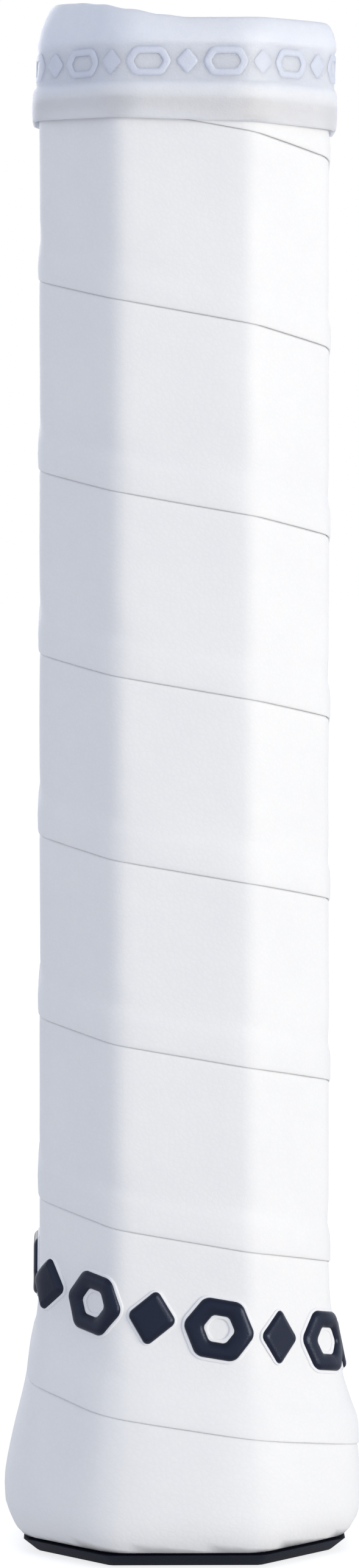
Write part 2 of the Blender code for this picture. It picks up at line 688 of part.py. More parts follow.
def build_collar():
    """The collar: a soft ring with a bead at each end, a channel between and a turned-in rim."""
    bore = COLLAR_INSIDE
    rim = COLLAR_TOP
    shoulder = COLLAR_TOP - RIM_HEIGHT
    profile = (
        (COLLAR_BOTTOM, MOUTH_INSIDE, 0.0),
        (COLLAR_BOTTOM + MOUTH_HEIGHT, MOUTH_INSIDE, 0.0),
        (COLLAR_BOTTOM + MOUTH_HEIGHT + MOUTH_SLOPE, bore, 0.0),
        (shoulder, bore, 0.3),
        (rim - RIM_WALL, COLLAR_LIP + RIM_WALL / 3, 0.9),
        (rim - RIM_WALL / 3, COLLAR_LIP, 1.0),
        (rim, COLLAR_LIP + RIM_WALL / 2, 1.0),
        (rim - RIM_WALL / 2, bore + UPPER_BEAD / 2, 0.9),
        (shoulder, bore + UPPER_BEAD, 0.3),
        (CHANNEL_TOP + BEAD_EDGE, bore + UPPER_BEAD, 0.0),
        (CHANNEL_TOP, bore + CHANNEL_WALL, 0.0),
        (CHANNEL_BOTTOM, bore + CHANNEL_WALL, 0.0),
        (CHANNEL_BOTTOM - BEAD_EDGE, MOUTH_INSIDE + LOWER_BEAD, 0.0),
        (COLLAR_BOTTOM + BEAD_EDGE, MOUTH_INSIDE + LOWER_BEAD, 0.0),
        (COLLAR_BOTTOM, MOUTH_INSIDE + LOWER_BEAD - BEAD_EDGE / 3, 0.0),
    )
    sections = [collar_ring(height, layer, wave) for height, layer, wave in profile]
    add_object("grip_collar", loft("grip_collar", sections, closed=True), MILKY_RUBBER)


def main():
    """Builds the handle from the inside out."""
    clear_scene()
    build_shaft()
    staple_holes = build_staples()
    build_pallets(staple_holes)
    build_cap(staple_holes)
    build_door()
    build_tape()
    build_marks()
    build_finishing_tape()
    build_collar()


main()
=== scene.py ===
"""The looks of a racket handle wound with a white grip tape.

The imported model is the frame: it gives each piece's place and size. This script adds the soft
tape, the domed marks, the rubber collar and the rounded mouldings, and dresses every surface.
Lengths are in metres.
"""

import logging
from dataclasses import dataclass
from enum import Enum
from functools import cached_property, partial
from math import atan2, ceil, cos, exp, hypot, pi, radians, sin, sqrt, tan
from typing import Callable, Sequence

import bmesh
import bpy
from bmesh.types import BMEdge, BMesh, BMFace, BMVert
from bpy.types import ID, Material, Mesh, Node, NodeSocket, NodeTree, Object
from mathutils import Matrix, Vector, noise


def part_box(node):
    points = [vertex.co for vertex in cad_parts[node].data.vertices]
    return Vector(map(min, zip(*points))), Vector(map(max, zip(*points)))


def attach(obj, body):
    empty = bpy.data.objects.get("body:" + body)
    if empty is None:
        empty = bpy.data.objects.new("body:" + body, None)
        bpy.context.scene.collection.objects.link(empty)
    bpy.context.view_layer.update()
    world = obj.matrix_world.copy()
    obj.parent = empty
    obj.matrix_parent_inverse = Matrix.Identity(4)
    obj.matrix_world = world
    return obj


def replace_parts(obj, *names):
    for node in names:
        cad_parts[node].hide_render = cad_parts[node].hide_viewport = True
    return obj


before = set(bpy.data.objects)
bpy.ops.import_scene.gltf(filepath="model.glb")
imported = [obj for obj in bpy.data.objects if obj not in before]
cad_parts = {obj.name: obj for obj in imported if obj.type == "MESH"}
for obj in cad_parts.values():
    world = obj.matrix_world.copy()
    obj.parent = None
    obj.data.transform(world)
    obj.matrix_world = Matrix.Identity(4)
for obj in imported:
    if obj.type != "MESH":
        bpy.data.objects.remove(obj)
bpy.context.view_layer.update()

LOG = logging.getLogger("handle")
MM = 0.001
HANDLE = "handle"
COLLAR = "collar"
DOOR = "door"
FACES = 8
FACE_TURN = 2 * pi / FACES
Colour = tuple[float, float, float]


def lerp(low: float, high: float, share: float) -> float:
    """The value a share of the way from low to high."""
    return low + (high - low) * share


def smooth(low: float, high: float, value: float) -> float:
    """A soft step: 0 below low, 1 above high."""
    share = min(1.0, max(0.0, (value - low) / (high - low)))
    return share * share * (3 - 2 * share)


def direction(angle: float) -> Vector:
    """The unit vector at an angle in the XY plane."""
    return Vector((cos(angle), sin(angle)))


# --- shader building blocks ------------------------------------------------------------------


class Coordinates(Enum):
    """What a finish's pattern is laid on."""

    OBJECT = "Object"
    UV = "UV"


def opaque(colour: Colour) -> tuple[float, float, float, float]:
    """A colour with an alpha of 1."""
    return (*colour, 1.0)


@dataclass
class Graph:
    """A node tree, with short ways to add to it."""

    tree: NodeTree

    def put(self, place: NodeSocket, value: object) -> None:
        """Gives an input its value, or links a socket to it.

        Args:
            place: The input.
            value: A plain value, or the output that feeds the input.
        """
        if isinstance(value, NodeSocket):
            self.tree.links.new(value, place)
        else:
            place.default_value = value

    def add(self, kind: str, inputs: dict[str | int, object] | None = None, **settings: object) -> Node:
        """Adds a node.

        Args:
            kind: The node's type, without its ShaderNode prefix.
            inputs: A value, or a socket to link, for each input by name or index.
            **settings: Attributes of the node.

        Returns:
            The new node.
        """
        node = self.tree.nodes.new(kind if kind.startswith("Node") else f"ShaderNode{kind}")
        for name, value in settings.items():
            setattr(node, name, value)
        for key, value in (inputs or {}).items():
            self.put(node.inputs[key], value)
        return node

    def math(self, operation: str, first: object, second: object = 0.0) -> NodeSocket:
        """The result of one arithmetic step on two values or sockets."""
        return self.add("Math", {0: first, 1: second}, operation=operation).outputs[0]

    def ramp(
        self, value: NodeSocket, low: float, high: float, start: float = 0.0, end: float = 1.0
    ) -> NodeSocket:
        """Maps low..high to start..end, held at both ends."""
        inputs = {"Value": value, "From Min": low, "From Max": high, "To Min": start, "To Max": end}
        return self.add("MapRange", inputs).outputs["Result"]

    def mix(self, factor: object, first: object, second: object) -> NodeSocket:
        """A mix of two colours, given as colours or sockets."""
        inputs = {"Factor": factor, 6: first, 7: second}
        return self.add("Mix", inputs, data_type="RGBA").outputs[2]


@dataclass
class Surface(Graph):
    """A material in the making.

    Attributes:
        shader: Its Principled BSDF.
        vector: The coordinates that its pattern follows.
    """

    shader: Node
    vector: NodeSocket

    def feed(self, inputs: dict[str, object]) -> None:
        """Sets or links inputs of the shader, by name."""
        for name, value in inputs.items():
            self.put(self.shader.inputs[name], value)

    def bump(self, height: NodeSocket, depth: float) -> None:
        """Feeds a height, in metres when multiplied by depth, to the shader's normal."""
        relief = self.add("Bump", {"Height": height, "Distance": depth, "Strength": 1.0})
        self.feed({"Normal": relief.outputs["Normal"]})


@dataclass(frozen=True)
class Effect:
    """A shader node group that several finishes share.

    Attributes:
        name: The group's name.
        inputs: Its float inputs and their defaults.
        outputs: The names of its float outputs.
        fill: Adds the nodes between the group's input and output.
    """

    name: str
    inputs: dict[str, float]
    outputs: tuple[str, ...]
    fill: Callable[[Graph, Node, Node], None]

    def group(self) -> NodeTree:
        """Makes the group's tree the first time it is asked for.

        Returns:
            The tree.
        """
        found = bpy.data.node_groups.get(self.name)
        if found:
            return found
        tree = bpy.data.node_groups.new(self.name, "ShaderNodeTree")
        tree.interface.new_socket("Vector", in_out="INPUT", socket_type="NodeSocketVector")
        for name, value in self.inputs.items():
            socket = tree.interface.new_socket(name, in_out="INPUT", socket_type="NodeSocketFloat")
            socket.default_value = value
        for name in self.outputs:
            tree.interface.new_socket(name, in_out="OUTPUT", socket_type="NodeSocketFloat")
        graph = Graph(tree)
        self.fill(graph, graph.add("NodeGroupInput"), graph.add("NodeGroupOutput"))
        return tree

    def place(self, surface: Surface, **values: float) -> Node:
        """Places the group in a material, on the coordinates that the material follows."""
        inputs = {name.title(): value for name, value in values.items()}
        return surface.add("Group", {"Vector": surface.vector, **inputs}, node_tree=self.group())


def fill_grain(graph: Graph, given: Node, result: Node) -> None:
    """Leather-like grain: soft cells between fine creases, with a coarser swell.

    Args:
        graph: The group's graph.
        given: Its input node.
        result: Its output node.
    """
    inputs = {0: given.outputs["Vector"], "Scale": given.outputs["Scale"]}
    scaled = graph.add("VectorMath", inputs, operation="SCALE").outputs[0]
    warp = graph.add("TexNoise", {"Vector": scaled, "Scale": 0.35, "Detail": 2.0})
    bent = graph.add("VectorMath", {0: scaled, 1: warp.outputs["Color"]}, operation="ADD")
    inputs = {"Vector": bent.outputs[0], "Scale": 1.0}
    cells = graph.add("TexVoronoi", inputs, feature="DISTANCE_TO_EDGE")
    pillow = graph.ramp(cells.outputs["Distance"], 0.0, 0.22)
    fine = graph.add("TexNoise", {"Vector": scaled, "Scale": 3.1, "Detail": 3.0})
    swell = graph.add("TexNoise", {"Vector": scaled, "Scale": 0.09, "Detail": 1.0})
    low = graph.math("MULTIPLY", fine.outputs["Fac"], given.outputs["Fine"])
    high = graph.math("MULTIPLY", swell.outputs["Fac"], given.outputs["Swell"])
    total = graph.math("ADD", graph.math("ADD", pillow, low), high)
    graph.put(result.inputs["Height"], total)
    graph.put(result.inputs["Creases"], graph.math("SUBTRACT", 1.0, pillow))


def fill_mottle(graph: Graph, given: Node, result: Node) -> None:
    """Cloudy unevenness in two sizes, from 0 to 1.

    Args:
        graph: The group's graph.
        given: Its input node.
        result: Its output node.
    """
    vector, scale = given.outputs["Vector"], given.outputs["Scale"]
    inputs = {"Vector": vector, "Scale": scale, "Detail": 3.0, "Roughness": 0.55}
    clouds = graph.add("TexNoise", inputs)
    finer = graph.math("MULTIPLY", scale, 6.3)
    specks = graph.add("TexNoise", {"Vector": vector, "Scale": finer, "Detail": 2.0})
    fainter = graph.math("MULTIPLY", specks.outputs["Fac"], 0.35)
    spread = graph.ramp(graph.math("ADD", clouds.outputs["Fac"], fainter), 0.45, 0.95)
    graph.put(result.inputs["Mask"], graph.math("MULTIPLY", spread, given.outputs["Amount"]))


def fill_scuffs(graph: Graph, given: Node, result: Node) -> None:
    """Fine handling scratches that run mostly up and down, from 0 to 1.

    Args:
        graph: The group's graph.
        given: Its input node.
        result: Its output node.
    """
    vector = given.outputs["Vector"]
    stretched = graph.add("Mapping", {"Vector": vector, "Scale": (1.0, 1.0, 0.06)})
    inputs = {"Vector": stretched.outputs[0], "Scale": given.outputs["Scale"], "Detail": 2.0}
    lines = graph.add("TexNoise", {**inputs, "Distortion": 0.4})
    thin = graph.ramp(lines.outputs["Fac"], 0.62, 0.70)
    where = graph.add("TexNoise", {"Vector": vector, "Scale": 60.0})
    patchy = graph.math("MULTIPLY", thin, graph.ramp(where.outputs["Fac"], 0.45, 0.62))
    graph.put(result.inputs["Mask"], graph.math("MULTIPLY", patchy, given.outputs["Amount"]))


GRAIN = Effect(
    "leather_grain", {"Scale": 900.0, "Fine": 0.25, "Swell": 0.6}, ("Height", "Creases"), fill_grain
)
MOTTLE = Effect("soft_mottle", {"Scale": 40.0, "Amount": 1.0}, ("Mask",), fill_mottle)
SCUFFS = Effect("handling_scuffs", {"Scale": 500.0, "Amount": 1.0}, ("Mask",), fill_scuffs)


# --- finishes --------------------------------------------------------------------------------


@dataclass(frozen=True)
class Finish:
    """What every finish has.

    Attributes:
        name: The material's name.
        slot: The record's material slot that it stands for. Not used.
        colour: Base colour, linear.
        shade: The colour that mottling, wear and the painted shade in grain creases and hollows turn it
            to.
        roughness: How matt it is.
        coordinates: What its pattern follows.
    """

    name: str
    slot: str
    colour: Colour
    shade: Colour
    roughness: float
    coordinates: Coordinates = Coordinates.OBJECT

    def material(self) -> Material:
        """Makes the finish's material the first time it is asked for.

        Returns:
            The material.
        """
        found = bpy.data.materials.get(self.name)
        if found:
            return found
        made = bpy.data.materials.new(self.name)
        made.use_nodes = True
        made.diffuse_color = opaque(self.colour)
        vector = Graph(made.node_tree).add("TexCoord").outputs[self.coordinates.value]
        surface = Surface(made.node_tree, made.node_tree.nodes["Principled BSDF"], vector)
        surface.feed({"Base Color": opaque(self.colour), "Roughness": self.roughness})
        self.pattern(surface)
        return made

    def pattern(self, surface: Surface) -> None:
        """Adds the finish's own nodes. Each finish has its own."""
        raise NotImplementedError

    def shaded(self, surface: Surface, mask: NodeSocket) -> NodeSocket:
        """The base colour, turned to the shade where the mask is high."""
        return surface.mix(mask, opaque(self.colour), opaque(self.shade))

    def dull(self, surface: Surface, mask: NodeSocket, full: float, extra: float) -> None:
        """Adds extra roughness as a mask goes from 0 to full."""
        rough = surface.ramp(mask, 0.0, full, self.roughness, self.roughness + extra)
        surface.feed({"Roughness": rough})

    def dress(self, piece: Object) -> None:
        """Puts the finish on every slot of a piece.

        Args:
            piece: The piece.
        """
        material = self.material()
        if not piece.data.materials:
            piece.data.materials.append(material)
        for place in piece.material_slots:
            place.material = material


@dataclass(frozen=True)
class SkinFinish(Finish):
    """White polyurethane skin: a fine grain, faint mottling and a soft sheen."""

    grain_scale: float = 1500.0
    grain_depth: float = 0.000007

    def pattern(self, surface: Surface) -> None:
        """Grain in the normal, mottling in the colour and the roughness, and painted shade in the
        grain's creases in the colour.

        Args:
            surface: The material in the making.
        """
        grain = GRAIN.place(surface, scale=self.grain_scale, fine=0.3, swell=0.8)
        mottle = MOTTLE.place(surface, scale=70.0, amount=0.55).outputs["Mask"]
        # Painted shade: the grain's creases darken the base colour, as if shadowed.
        creases = surface.math("MULTIPLY", grain.outputs["Creases"], 0.16)
        self.dull(surface, mottle, full=0.5, extra=0.12)
        surface.bump(grain.outputs["Height"], self.grain_depth)
        surface.feed({
            "Base Color": self.shaded(surface, surface.math("ADD", mottle, creases)),
            "Sheen Weight": 0.10,
            "Sheen Roughness": 0.5,
            "Subsurface Weight": 0.12,
            "Subsurface Radius": (0.8, 0.9, 1.0),
            "Subsurface Scale": 0.0012,
            "Specular IOR Level": 0.35,
        })


@dataclass(frozen=True)
class MouldedFinish(Finish):
    """Moulded plastic or solid rubber: spark-eroded texture, scuffs and a thin coat of gloss."""

    texture_scale: float = 2600.0
    texture_depth: float = 0.000012
    wear: float = 0.35
    coat: float = 0.0
    gloss: float = 0.28
    gleam: Colour = (0.62, 0.72, 1.0)

    def pattern(self, surface: Surface) -> None:
        """A fine pebble in the normal, scuffs in the colour and the roughness.

        Args:
            surface: The material in the making.
        """
        grain = GRAIN.place(surface, scale=self.texture_scale, fine=0.5, swell=0.3)
        scuffs = SCUFFS.place(surface, scale=420.0, amount=self.wear)
        mottle = MOTTLE.place(surface, scale=55.0, amount=0.25)
        mask = surface.math("ADD", scuffs.outputs["Mask"], mottle.outputs["Mask"])
        self.dull(surface, mask, full=0.6, extra=0.2)
        surface.bump(grain.outputs["Height"], self.texture_depth)
        surface.feed({
            "Base Color": self.shaded(surface, mask),
            "Specular IOR Level": self.gloss,
            "Specular Tint": opaque(self.gleam),
            "Coat Weight": self.coat,
            "Coat Roughness": 0.25,
        })


@dataclass(frozen=True)
class MilkyFinish(Finish):
    """Soft translucent rubber that lets light through its edges and takes a film of dust.

    Attributes:
        thin: Lowest and highest point of the thin wall, which is given a painted shade for the inside
            seen through it.
        see_through_shade: The painted shade colour laid on that thin wall.
        bead_light: A paler colour painted on the thick bead below it, as painted light.
        glow: How much of the light is scattered inside.
    """

    thin: tuple[float, float] = (0.0, 0.0)
    see_through_shade: Colour = (0.60, 0.66, 0.81)
    bead_light: Colour = (0.92, 0.935, 1.0)
    glow: float = 0.7

    def pattern(self, surface: Surface) -> None:
        """Scattering in the body, cloudy colour, painted shade on the thin wall, painted light on the
        bead and a fine satin texture.

        Args:
            surface: The material in the making.
        """
        low, high = self.thin
        mottle = MOTTLE.place(surface, scale=90.0, amount=0.8).outputs["Mask"]
        grain = GRAIN.place(surface, scale=2200.0, fine=0.6, swell=1.2)
        height = surface.add("SeparateXYZ", {0: surface.vector}).outputs["Z"]
        above = surface.ramp(height, low - 0.5 * MM, low + 0.7 * MM)
        below = surface.ramp(height, high - 0.9 * MM, high + 0.3 * MM, 1.0, 0.0)
        # Painted shade: a darker band on the thin channel wall, for the inside seen through it.
        wall = surface.math("MULTIPLY", surface.math("MULTIPLY", above, below), 0.3)
        # Painted light: the bead below the channel is turned towards a paler colour.
        bead = surface.ramp(height, low - 1.2 * MM, low, 0.42, 0.0)
        clouded = surface.mix(bead, self.shaded(surface, mottle), opaque(self.bead_light))
        self.dull(surface, mottle, full=0.8, extra=0.18)
        surface.bump(grain.outputs["Height"], 0.000014)
        surface.feed({
            "Base Color": surface.mix(wall, clouded, opaque(self.see_through_shade)),
            "Subsurface Weight": self.glow,
            "Subsurface Radius": (0.8, 0.88, 1.0),
            "Subsurface Scale": 0.0032,
            "Coat Weight": 0.12,
            "Coat Roughness": 0.35,
        })


@dataclass(frozen=True)
class FeltFinish(Finish):
    """Needled felt or foam: fibres or cells in relief, with shaded hollows."""

    cell_scale: float = 1400.0
    cell_depth: float = 0.00008

    def pattern(self, surface: Surface) -> None:
        """Coarse relief whose hollows are darker.

        Args:
            surface: The material in the making.
        """
        grain = GRAIN.place(surface, scale=self.cell_scale, fine=1.0, swell=0.5)
        mottle = MOTTLE.place(surface, scale=120.0, amount=0.5)
        # Painted shade: the cells' hollows darken the base colour.
        hollow_shade = surface.math("MULTIPLY", grain.outputs["Creases"], 0.6)
        mask = surface.math("ADD", hollow_shade, mottle.outputs["Mask"])
        surface.bump(grain.outputs["Height"], self.cell_depth)
        surface.feed({
            "Base Color": self.shaded(surface, mask), "Sheen Weight": 0.25, "Sheen Roughness": 0.7,
        })


@dataclass(frozen=True)
class CarbonFinish(Finish):
    """Twill-woven carbon under clear resin, with tows of one width."""

    tow: float = 1.6 * MM

    def pattern(self, surface: Surface) -> None:
        """Two sets of tows that pass over each other in steps, as a twill does.

        Args:
            surface: The material in the making.
        """
        apart = surface.add("SeparateXYZ", {0: surface.vector}).outputs
        column = surface.math("DIVIDE", surface.math("ADD", apart["X"], apart["Y"]), self.tow)
        row = surface.math("DIVIDE", apart["Z"], self.tow)
        steps = surface.math("ADD", surface.math("FLOOR", column), surface.math("FLOOR", row))
        phase = surface.math("FRACT", surface.math("MULTIPLY", steps, 0.25))
        over = surface.math("GREATER_THAN", phase, 0.49)
        ridge = surface.math("SINE", surface.math("MULTIPLY", column, 2 * pi))
        furrow = surface.math("SINE", surface.math("MULTIPLY", row, 2 * pi))
        height = surface.math("ADD", surface.math("MULTIPLY", ridge, over), furrow)
        self.dull(surface, over, full=1.0, extra=0.15)
        surface.bump(height, 0.00001)
        surface.feed({
            "Base Color": self.shaded(surface, over), "Coat Weight": 0.6, "Coat Roughness": 0.15,
        })


@dataclass(frozen=True)
class MetalFinish(Finish):
    """Bare metal: cast or drawn, dulled in patches."""

    def pattern(self, surface: Surface) -> None:
        """Tarnish in the colour, scratches in the roughness.

        Args:
            surface: The material in the making.
        """
        scuffs = SCUFFS.place(surface, scale=900.0, amount=0.8).outputs["Mask"]
        mottle = MOTTLE.place(surface, scale=200.0, amount=0.7).outputs["Mask"]
        self.dull(surface, scuffs, full=1.0, extra=0.25)
        surface.bump(mottle, 0.00002)
        surface.feed({"Base Color": self.shaded(surface, mottle), "Metallic": 1.0})


WHITE_SKIN = SkinFinish(
    "white_grip_skin", "grip_white", (0.885, 0.885, 0.885), (0.82, 0.822, 0.84), 0.48, Coordinates.UV,
)
WHITE_RELIEF = SkinFinish("white_relief", "grip_white", (0.90, 0.90, 0.92), (0.85, 0.855, 0.88), 0.40)
NAVY_RUBBER = MouldedFinish(
    "navy_raised_rubber", "mark_navy", (0.002, 0.0032, 0.012), (0.012, 0.015, 0.034), 0.29,
    texture_scale=3000.0, texture_depth=0.000005, wear=0.10, coat=0.08, gloss=0.45,
)
NAVY_PLASTIC = MouldedFinish(
    "navy_cap_plastic", "cap_navy", (0.0035, 0.0045, 0.011), (0.02, 0.022, 0.035), 0.5,
)
MILKY_RUBBER = MilkyFinish(
    "milky_collar_rubber", "collar_milky", (0.79, 0.83, 0.955), (0.71, 0.75, 0.89), 0.38,
    thin=(171.4 * MM, 175.6 * MM),
)
MILKY_STUDS = MilkyFinish(
    "milky_stud_rubber", "collar_milky", (0.70, 0.74, 0.86), (0.64, 0.68, 0.81), 0.36, glow=0.2,
)
CLEAR_BAND = MilkyFinish("clear_band", "band_clear", (0.50, 0.55, 0.64), (0.40, 0.46, 0.57), 0.22)
GREY_FELT = FeltFinish("grey_felt", "backing_felt", (0.52, 0.51, 0.48), (0.30, 0.29, 0.27), 0.95)
TAN_FOAM = FeltFinish(
    "tan_foam", "pallet_foam", (0.44, 0.32, 0.15), (0.27, 0.18, 0.075), 0.8,
    cell_scale=2400.0, cell_depth=0.00005,
)
WHITE_FOAM = FeltFinish(
    "white_foam", "core_foam", (0.74, 0.71, 0.60), (0.50, 0.46, 0.36), 0.9,
    cell_scale=1100.0, cell_depth=0.00012,
)
CARBON = CarbonFinish("carbon_twill", "carbon", (0.012, 0.012, 0.013), (0.045, 0.045, 0.05), 0.32)
LEAD = MetalFinish("dull_lead", "lead_grey", (0.22, 0.23, 0.25), (0.12, 0.12, 0.13), 0.5)
STEEL = MetalFinish("staple_steel", "staple_steel", (0.58, 0.58, 0.60), (0.42, 0.42, 0.43), 0.28)


# --- meshes and objects ----------------------------------------------------------------------


def finished_mesh(shape: BMesh, name: str, sharp: float = 40.0) -> Mesh:
    """Turns a bmesh into a smooth mesh.

    Args:
        shape: The bmesh, which is freed.
        name: The mesh's name.
        sharp: Edges past this angle, in degrees, stay sharp.

    Returns:
        The mesh.
    """
    mesh = bpy.data.meshes.new(name)
    shape.to_mesh(mesh)
    shape.free()
    mesh.shade_smooth()
    mesh.set_sharp_from_angle(angle=radians(sharp))
    return mesh


def linked(name: str, data: ID) -> Object:
    """Makes an object and puts it in the scene.

    Args:
        name: Its name.
        data: Its mesh, light or camera.

    Returns:
        The new object.
    """
    made = bpy.data.objects.new(name, data)
    bpy.context.scene.collection.objects.link(made)
    return made


def add_piece(mesh: Mesh, body: str, finish: Finish) -> Object:
    """Makes a mesh a piece of the object.

    Args:
        mesh: The piece's mesh, in its place. Its name is the piece's name.
        body: The body that it rides on.
        finish: What it is dressed in.

    Returns:
        The new object.
    """
    piece = linked(mesh.name, mesh)
    finish.dress(piece)
    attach(piece, body)
    return piece


def cut(shape: BMesh, place: Sequence[float], normal: Sequence[float], clear: bool = False) -> None:
    """Cuts a bmesh with a plane, and can clear away what lies beyond it."""
    parts = shape.verts[:] + shape.edges[:] + shape.faces[:]
    bmesh.ops.bisect_plane(shape, geom=parts, plane_co=place, plane_no=normal, clear_outer=clear)


def outwards(shape: BMesh) -> None:
    """Makes a closed bmesh's faces point outwards.

    Args:
        shape: The bmesh.
    """
    bmesh.ops.recalc_face_normals(shape, faces=shape.faces)
    if shape.calc_volume(signed=True) < 0:
        bmesh.ops.reverse_faces(shape, faces=shape.faces)


def softened(node: str, body: str, finish: Finish, radius: float, segments: int = 3) -> None:
    """Adds a copy of a CAD node with rounded edges, which stands for the node.

    Args:
        node: The CAD node.
        body: The body that it rides on.
        finish: What the copy is dressed in.
        radius: How far the edges are rounded.
        segments: Steps in the rounding.
    """
    shape = bmesh.new()
    shape.from_mesh(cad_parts[node].data)
    bmesh.ops.remove_doubles(shape, verts=shape.verts, dist=0.002 * MM)
    bmesh.ops.dissolve_limit(
        shape, angle_limit=radians(2), use_dissolve_boundaries=False,
        verts=shape.verts, edges=shape.edges,
    )
    shape.normal_update()
    edges = [e for e in shape.edges if e.is_manifold and e.calc_face_angle(0.0) > radians(35)]
    bmesh.ops.bevel(
        shape, geom=edges, offset=radius, offset_type="OFFSET", affect="EDGES",
        segments=segments, profile=0.5, material=-1, clamp_overlap=True,
    )
    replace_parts(add_piece(finished_mesh(shape, f"{node}_moulding"), body, finish), node)


def ring_wall(columns: int, rows: Sequence[Callable[[float], Vector]]) -> BMesh:
    """Extrudes a ring through rows round the handle and joins the last to the first.

    Args:
        columns: Points in the ring.
        rows: For each row, a function from the share of the way round to the place.

    Returns:
        The closed wall, with its faces outwards.
    """
    shape = bmesh.new()
    ring = bmesh.ops.create_circle(shape, cap_ends=False, segments=columns, radius=1.0)["verts"]
    ring.sort(key=lambda vert: atan2(vert.co.y, vert.co.x) % (2 * pi))
    shares = {vert: number / columns - 0.25 for number, vert in enumerate(ring)}
    first_edges = edges = shape.edges[:]
    for number, row in enumerate(rows):
        if number:
            before = shares
            made = bmesh.ops.extrude_edge_only(shape, edges=edges)["geom"]
            fresh = [item for item in made if isinstance(item, BMVert)]
            edges = [item for item in made if isinstance(item, BMEdge)]
            edges = [edge for edge in edges if not before.keys() & set(edge.verts)]
            shares = {vert: share_below(vert, before) for vert in fresh}
        for vert, share in shares.items():
            vert.co = row(share)
    bmesh.ops.bridge_loops(shape, edges=first_edges + edges)
    outwards(shape)
    return shape


def share_below(vert: BMVert, shares: dict[BMVert, float]) -> float:
    """The share of the vertex that a new one was extruded from, which is still beside it."""
    return next(shares[end] for edge in vert.link_edges if (end := edge.other_vert(vert)) in shares)


# --- the handle's form and the tape's winding ------------------------------------------------


@dataclass(frozen=True)
class HandleForm:
    """The bare octagonal handle and its flared butt.

    Attributes:
        half_width: From the axis to a side flat.
        half_depth: From the axis to the front or back flat.
        bevel_cut: What each bevel takes off the width and off the depth.
        corner_radius: Radius of the bare corners.
        belly_growth: How far the flare stands out at its belly.
        heel_growth: How far it stands out where it meets the lip.
        flare_top: Height at which the flare starts, going down.
        belly_height: Height of its belly.
        lip_height: Height of the lip.
        extra_softness: Added to the corners' radius by the tape.
        flare_softness: Added to it on the belly.
        softening: Heights between which the flare's softness comes in.
    """

    half_width: float
    half_depth: float
    bevel_cut: float = 7.9 * MM
    corner_radius: float = 0.8 * MM
    flare_top: float = 32.0 * MM
    belly_height: float = 6.0 * MM
    belly_growth: float = 3.9 * MM
    heel_growth: float = 1.5 * MM
    lip_height: float = 1.1 * MM
    extra_softness: float = 0.9 * MM
    flare_softness: float = 9.0 * MM
    softening: tuple[float, float] = (-1.5 * MM, 8 * MM)

    def face_distance(self, face: int) -> float:
        """Distance from the axis to a face. Face 0 is the front, and they run anticlockwise."""
        bevel = (self.half_width + self.half_depth - self.bevel_cut) / sqrt(2)
        return (self.half_depth, bevel, self.half_width, bevel)[face % 4]

    def flare(self, height: float) -> float:
        """How far the butt stands out of the bare handle.

        Args:
            height: Above the floor.

        Returns:
            The distance at that height.
        """
        if height >= self.flare_top:
            return 0.0
        if height >= self.belly_height:
            return self.belly_growth * (1 - smooth(self.belly_height, self.flare_top, height))
        share = min(1.0, (self.belly_height - height) / (self.belly_height - self.lip_height))
        return self.belly_growth - (self.belly_growth - self.heel_growth) * share * share

    def corner(self, face: int, inset: float) -> Vector:
        """The corner between a face and the next.

        Args:
            face: The first of the two.
            inset: How far both are moved out.

        Returns:
            The corner, in the XY plane.
        """
        first = self.face_distance(face) + inset
        second = self.face_distance(face + 1) + inset
        along = (second - first * cos(FACE_TURN)) / sin(FACE_TURN)
        angle = self.face_angle(face)
        return first * direction(angle) + along * direction(angle + pi / 2)

    @staticmethod
    def face_angle(face: int) -> float:
        """Direction of a face's normal."""
        return -pi / 2 + face * FACE_TURN

    def lengths(self, growth: float, layer: float, soft: float) -> list[float]:
        """Lengths of the outline's flats and arcs in turn, from the start of the front flat.

        Args:
            growth: How far the octagon has grown, corners and all.
            layer: Thickness laid round it.
            soft: Added to the corners' radius, with the flats where they are.

        Returns:
            One flat and one arc for each face.
        """
        front = self.half_width - self.bevel_cut
        side = self.half_depth - self.bevel_cut
        bevel = self.bevel_cut / sqrt(2)
        spread = (growth - self.corner_radius - soft) * tan(FACE_TURN / 2)
        arc = (self.corner_radius + soft + layer) * FACE_TURN
        return [part for half in (front, bevel, side, bevel) * 2 for part in (2 * (half + spread), arc)]

    def walk(self, share: float, growth: float, layer: float, soft: float = 0.0) -> Vector:
        """A point of the outline, by its distance along it.

        Args:
            share: Share of the whole length, anticlockwise from the middle of the front.
            growth: How far the octagon has grown, corners and all.
            layer: Thickness laid round it.
            soft: Added to the corners' radius, with the flats where they are.

        Returns:
            The point in the XY plane.
        """
        lengths = self.lengths(growth, layer, soft)
        left = (share % 1.0) * sum(lengths) + lengths[0] / 2
        part = 0
        while left > lengths[part % len(lengths)]:
            left -= lengths[part % len(lengths)]
            part += 1
        face = part // 2
        inset = growth - self.corner_radius - soft
        reach = self.corner_radius + soft + layer
        angle = self.face_angle(face)
        if part % 2:
            return self.corner(face, inset) + reach * direction(angle + left / reach)
        start = self.corner(face - 1, inset) + reach * direction(angle)
        return start + left * direction(angle + pi / 2)

    def softness(self, height: float) -> float:
        """How much the tape adds to the corners' radius at a height."""
        full = self.flare_softness * self.flare(height) / self.belly_growth
        return self.extra_softness + full * smooth(*self.softening, height)


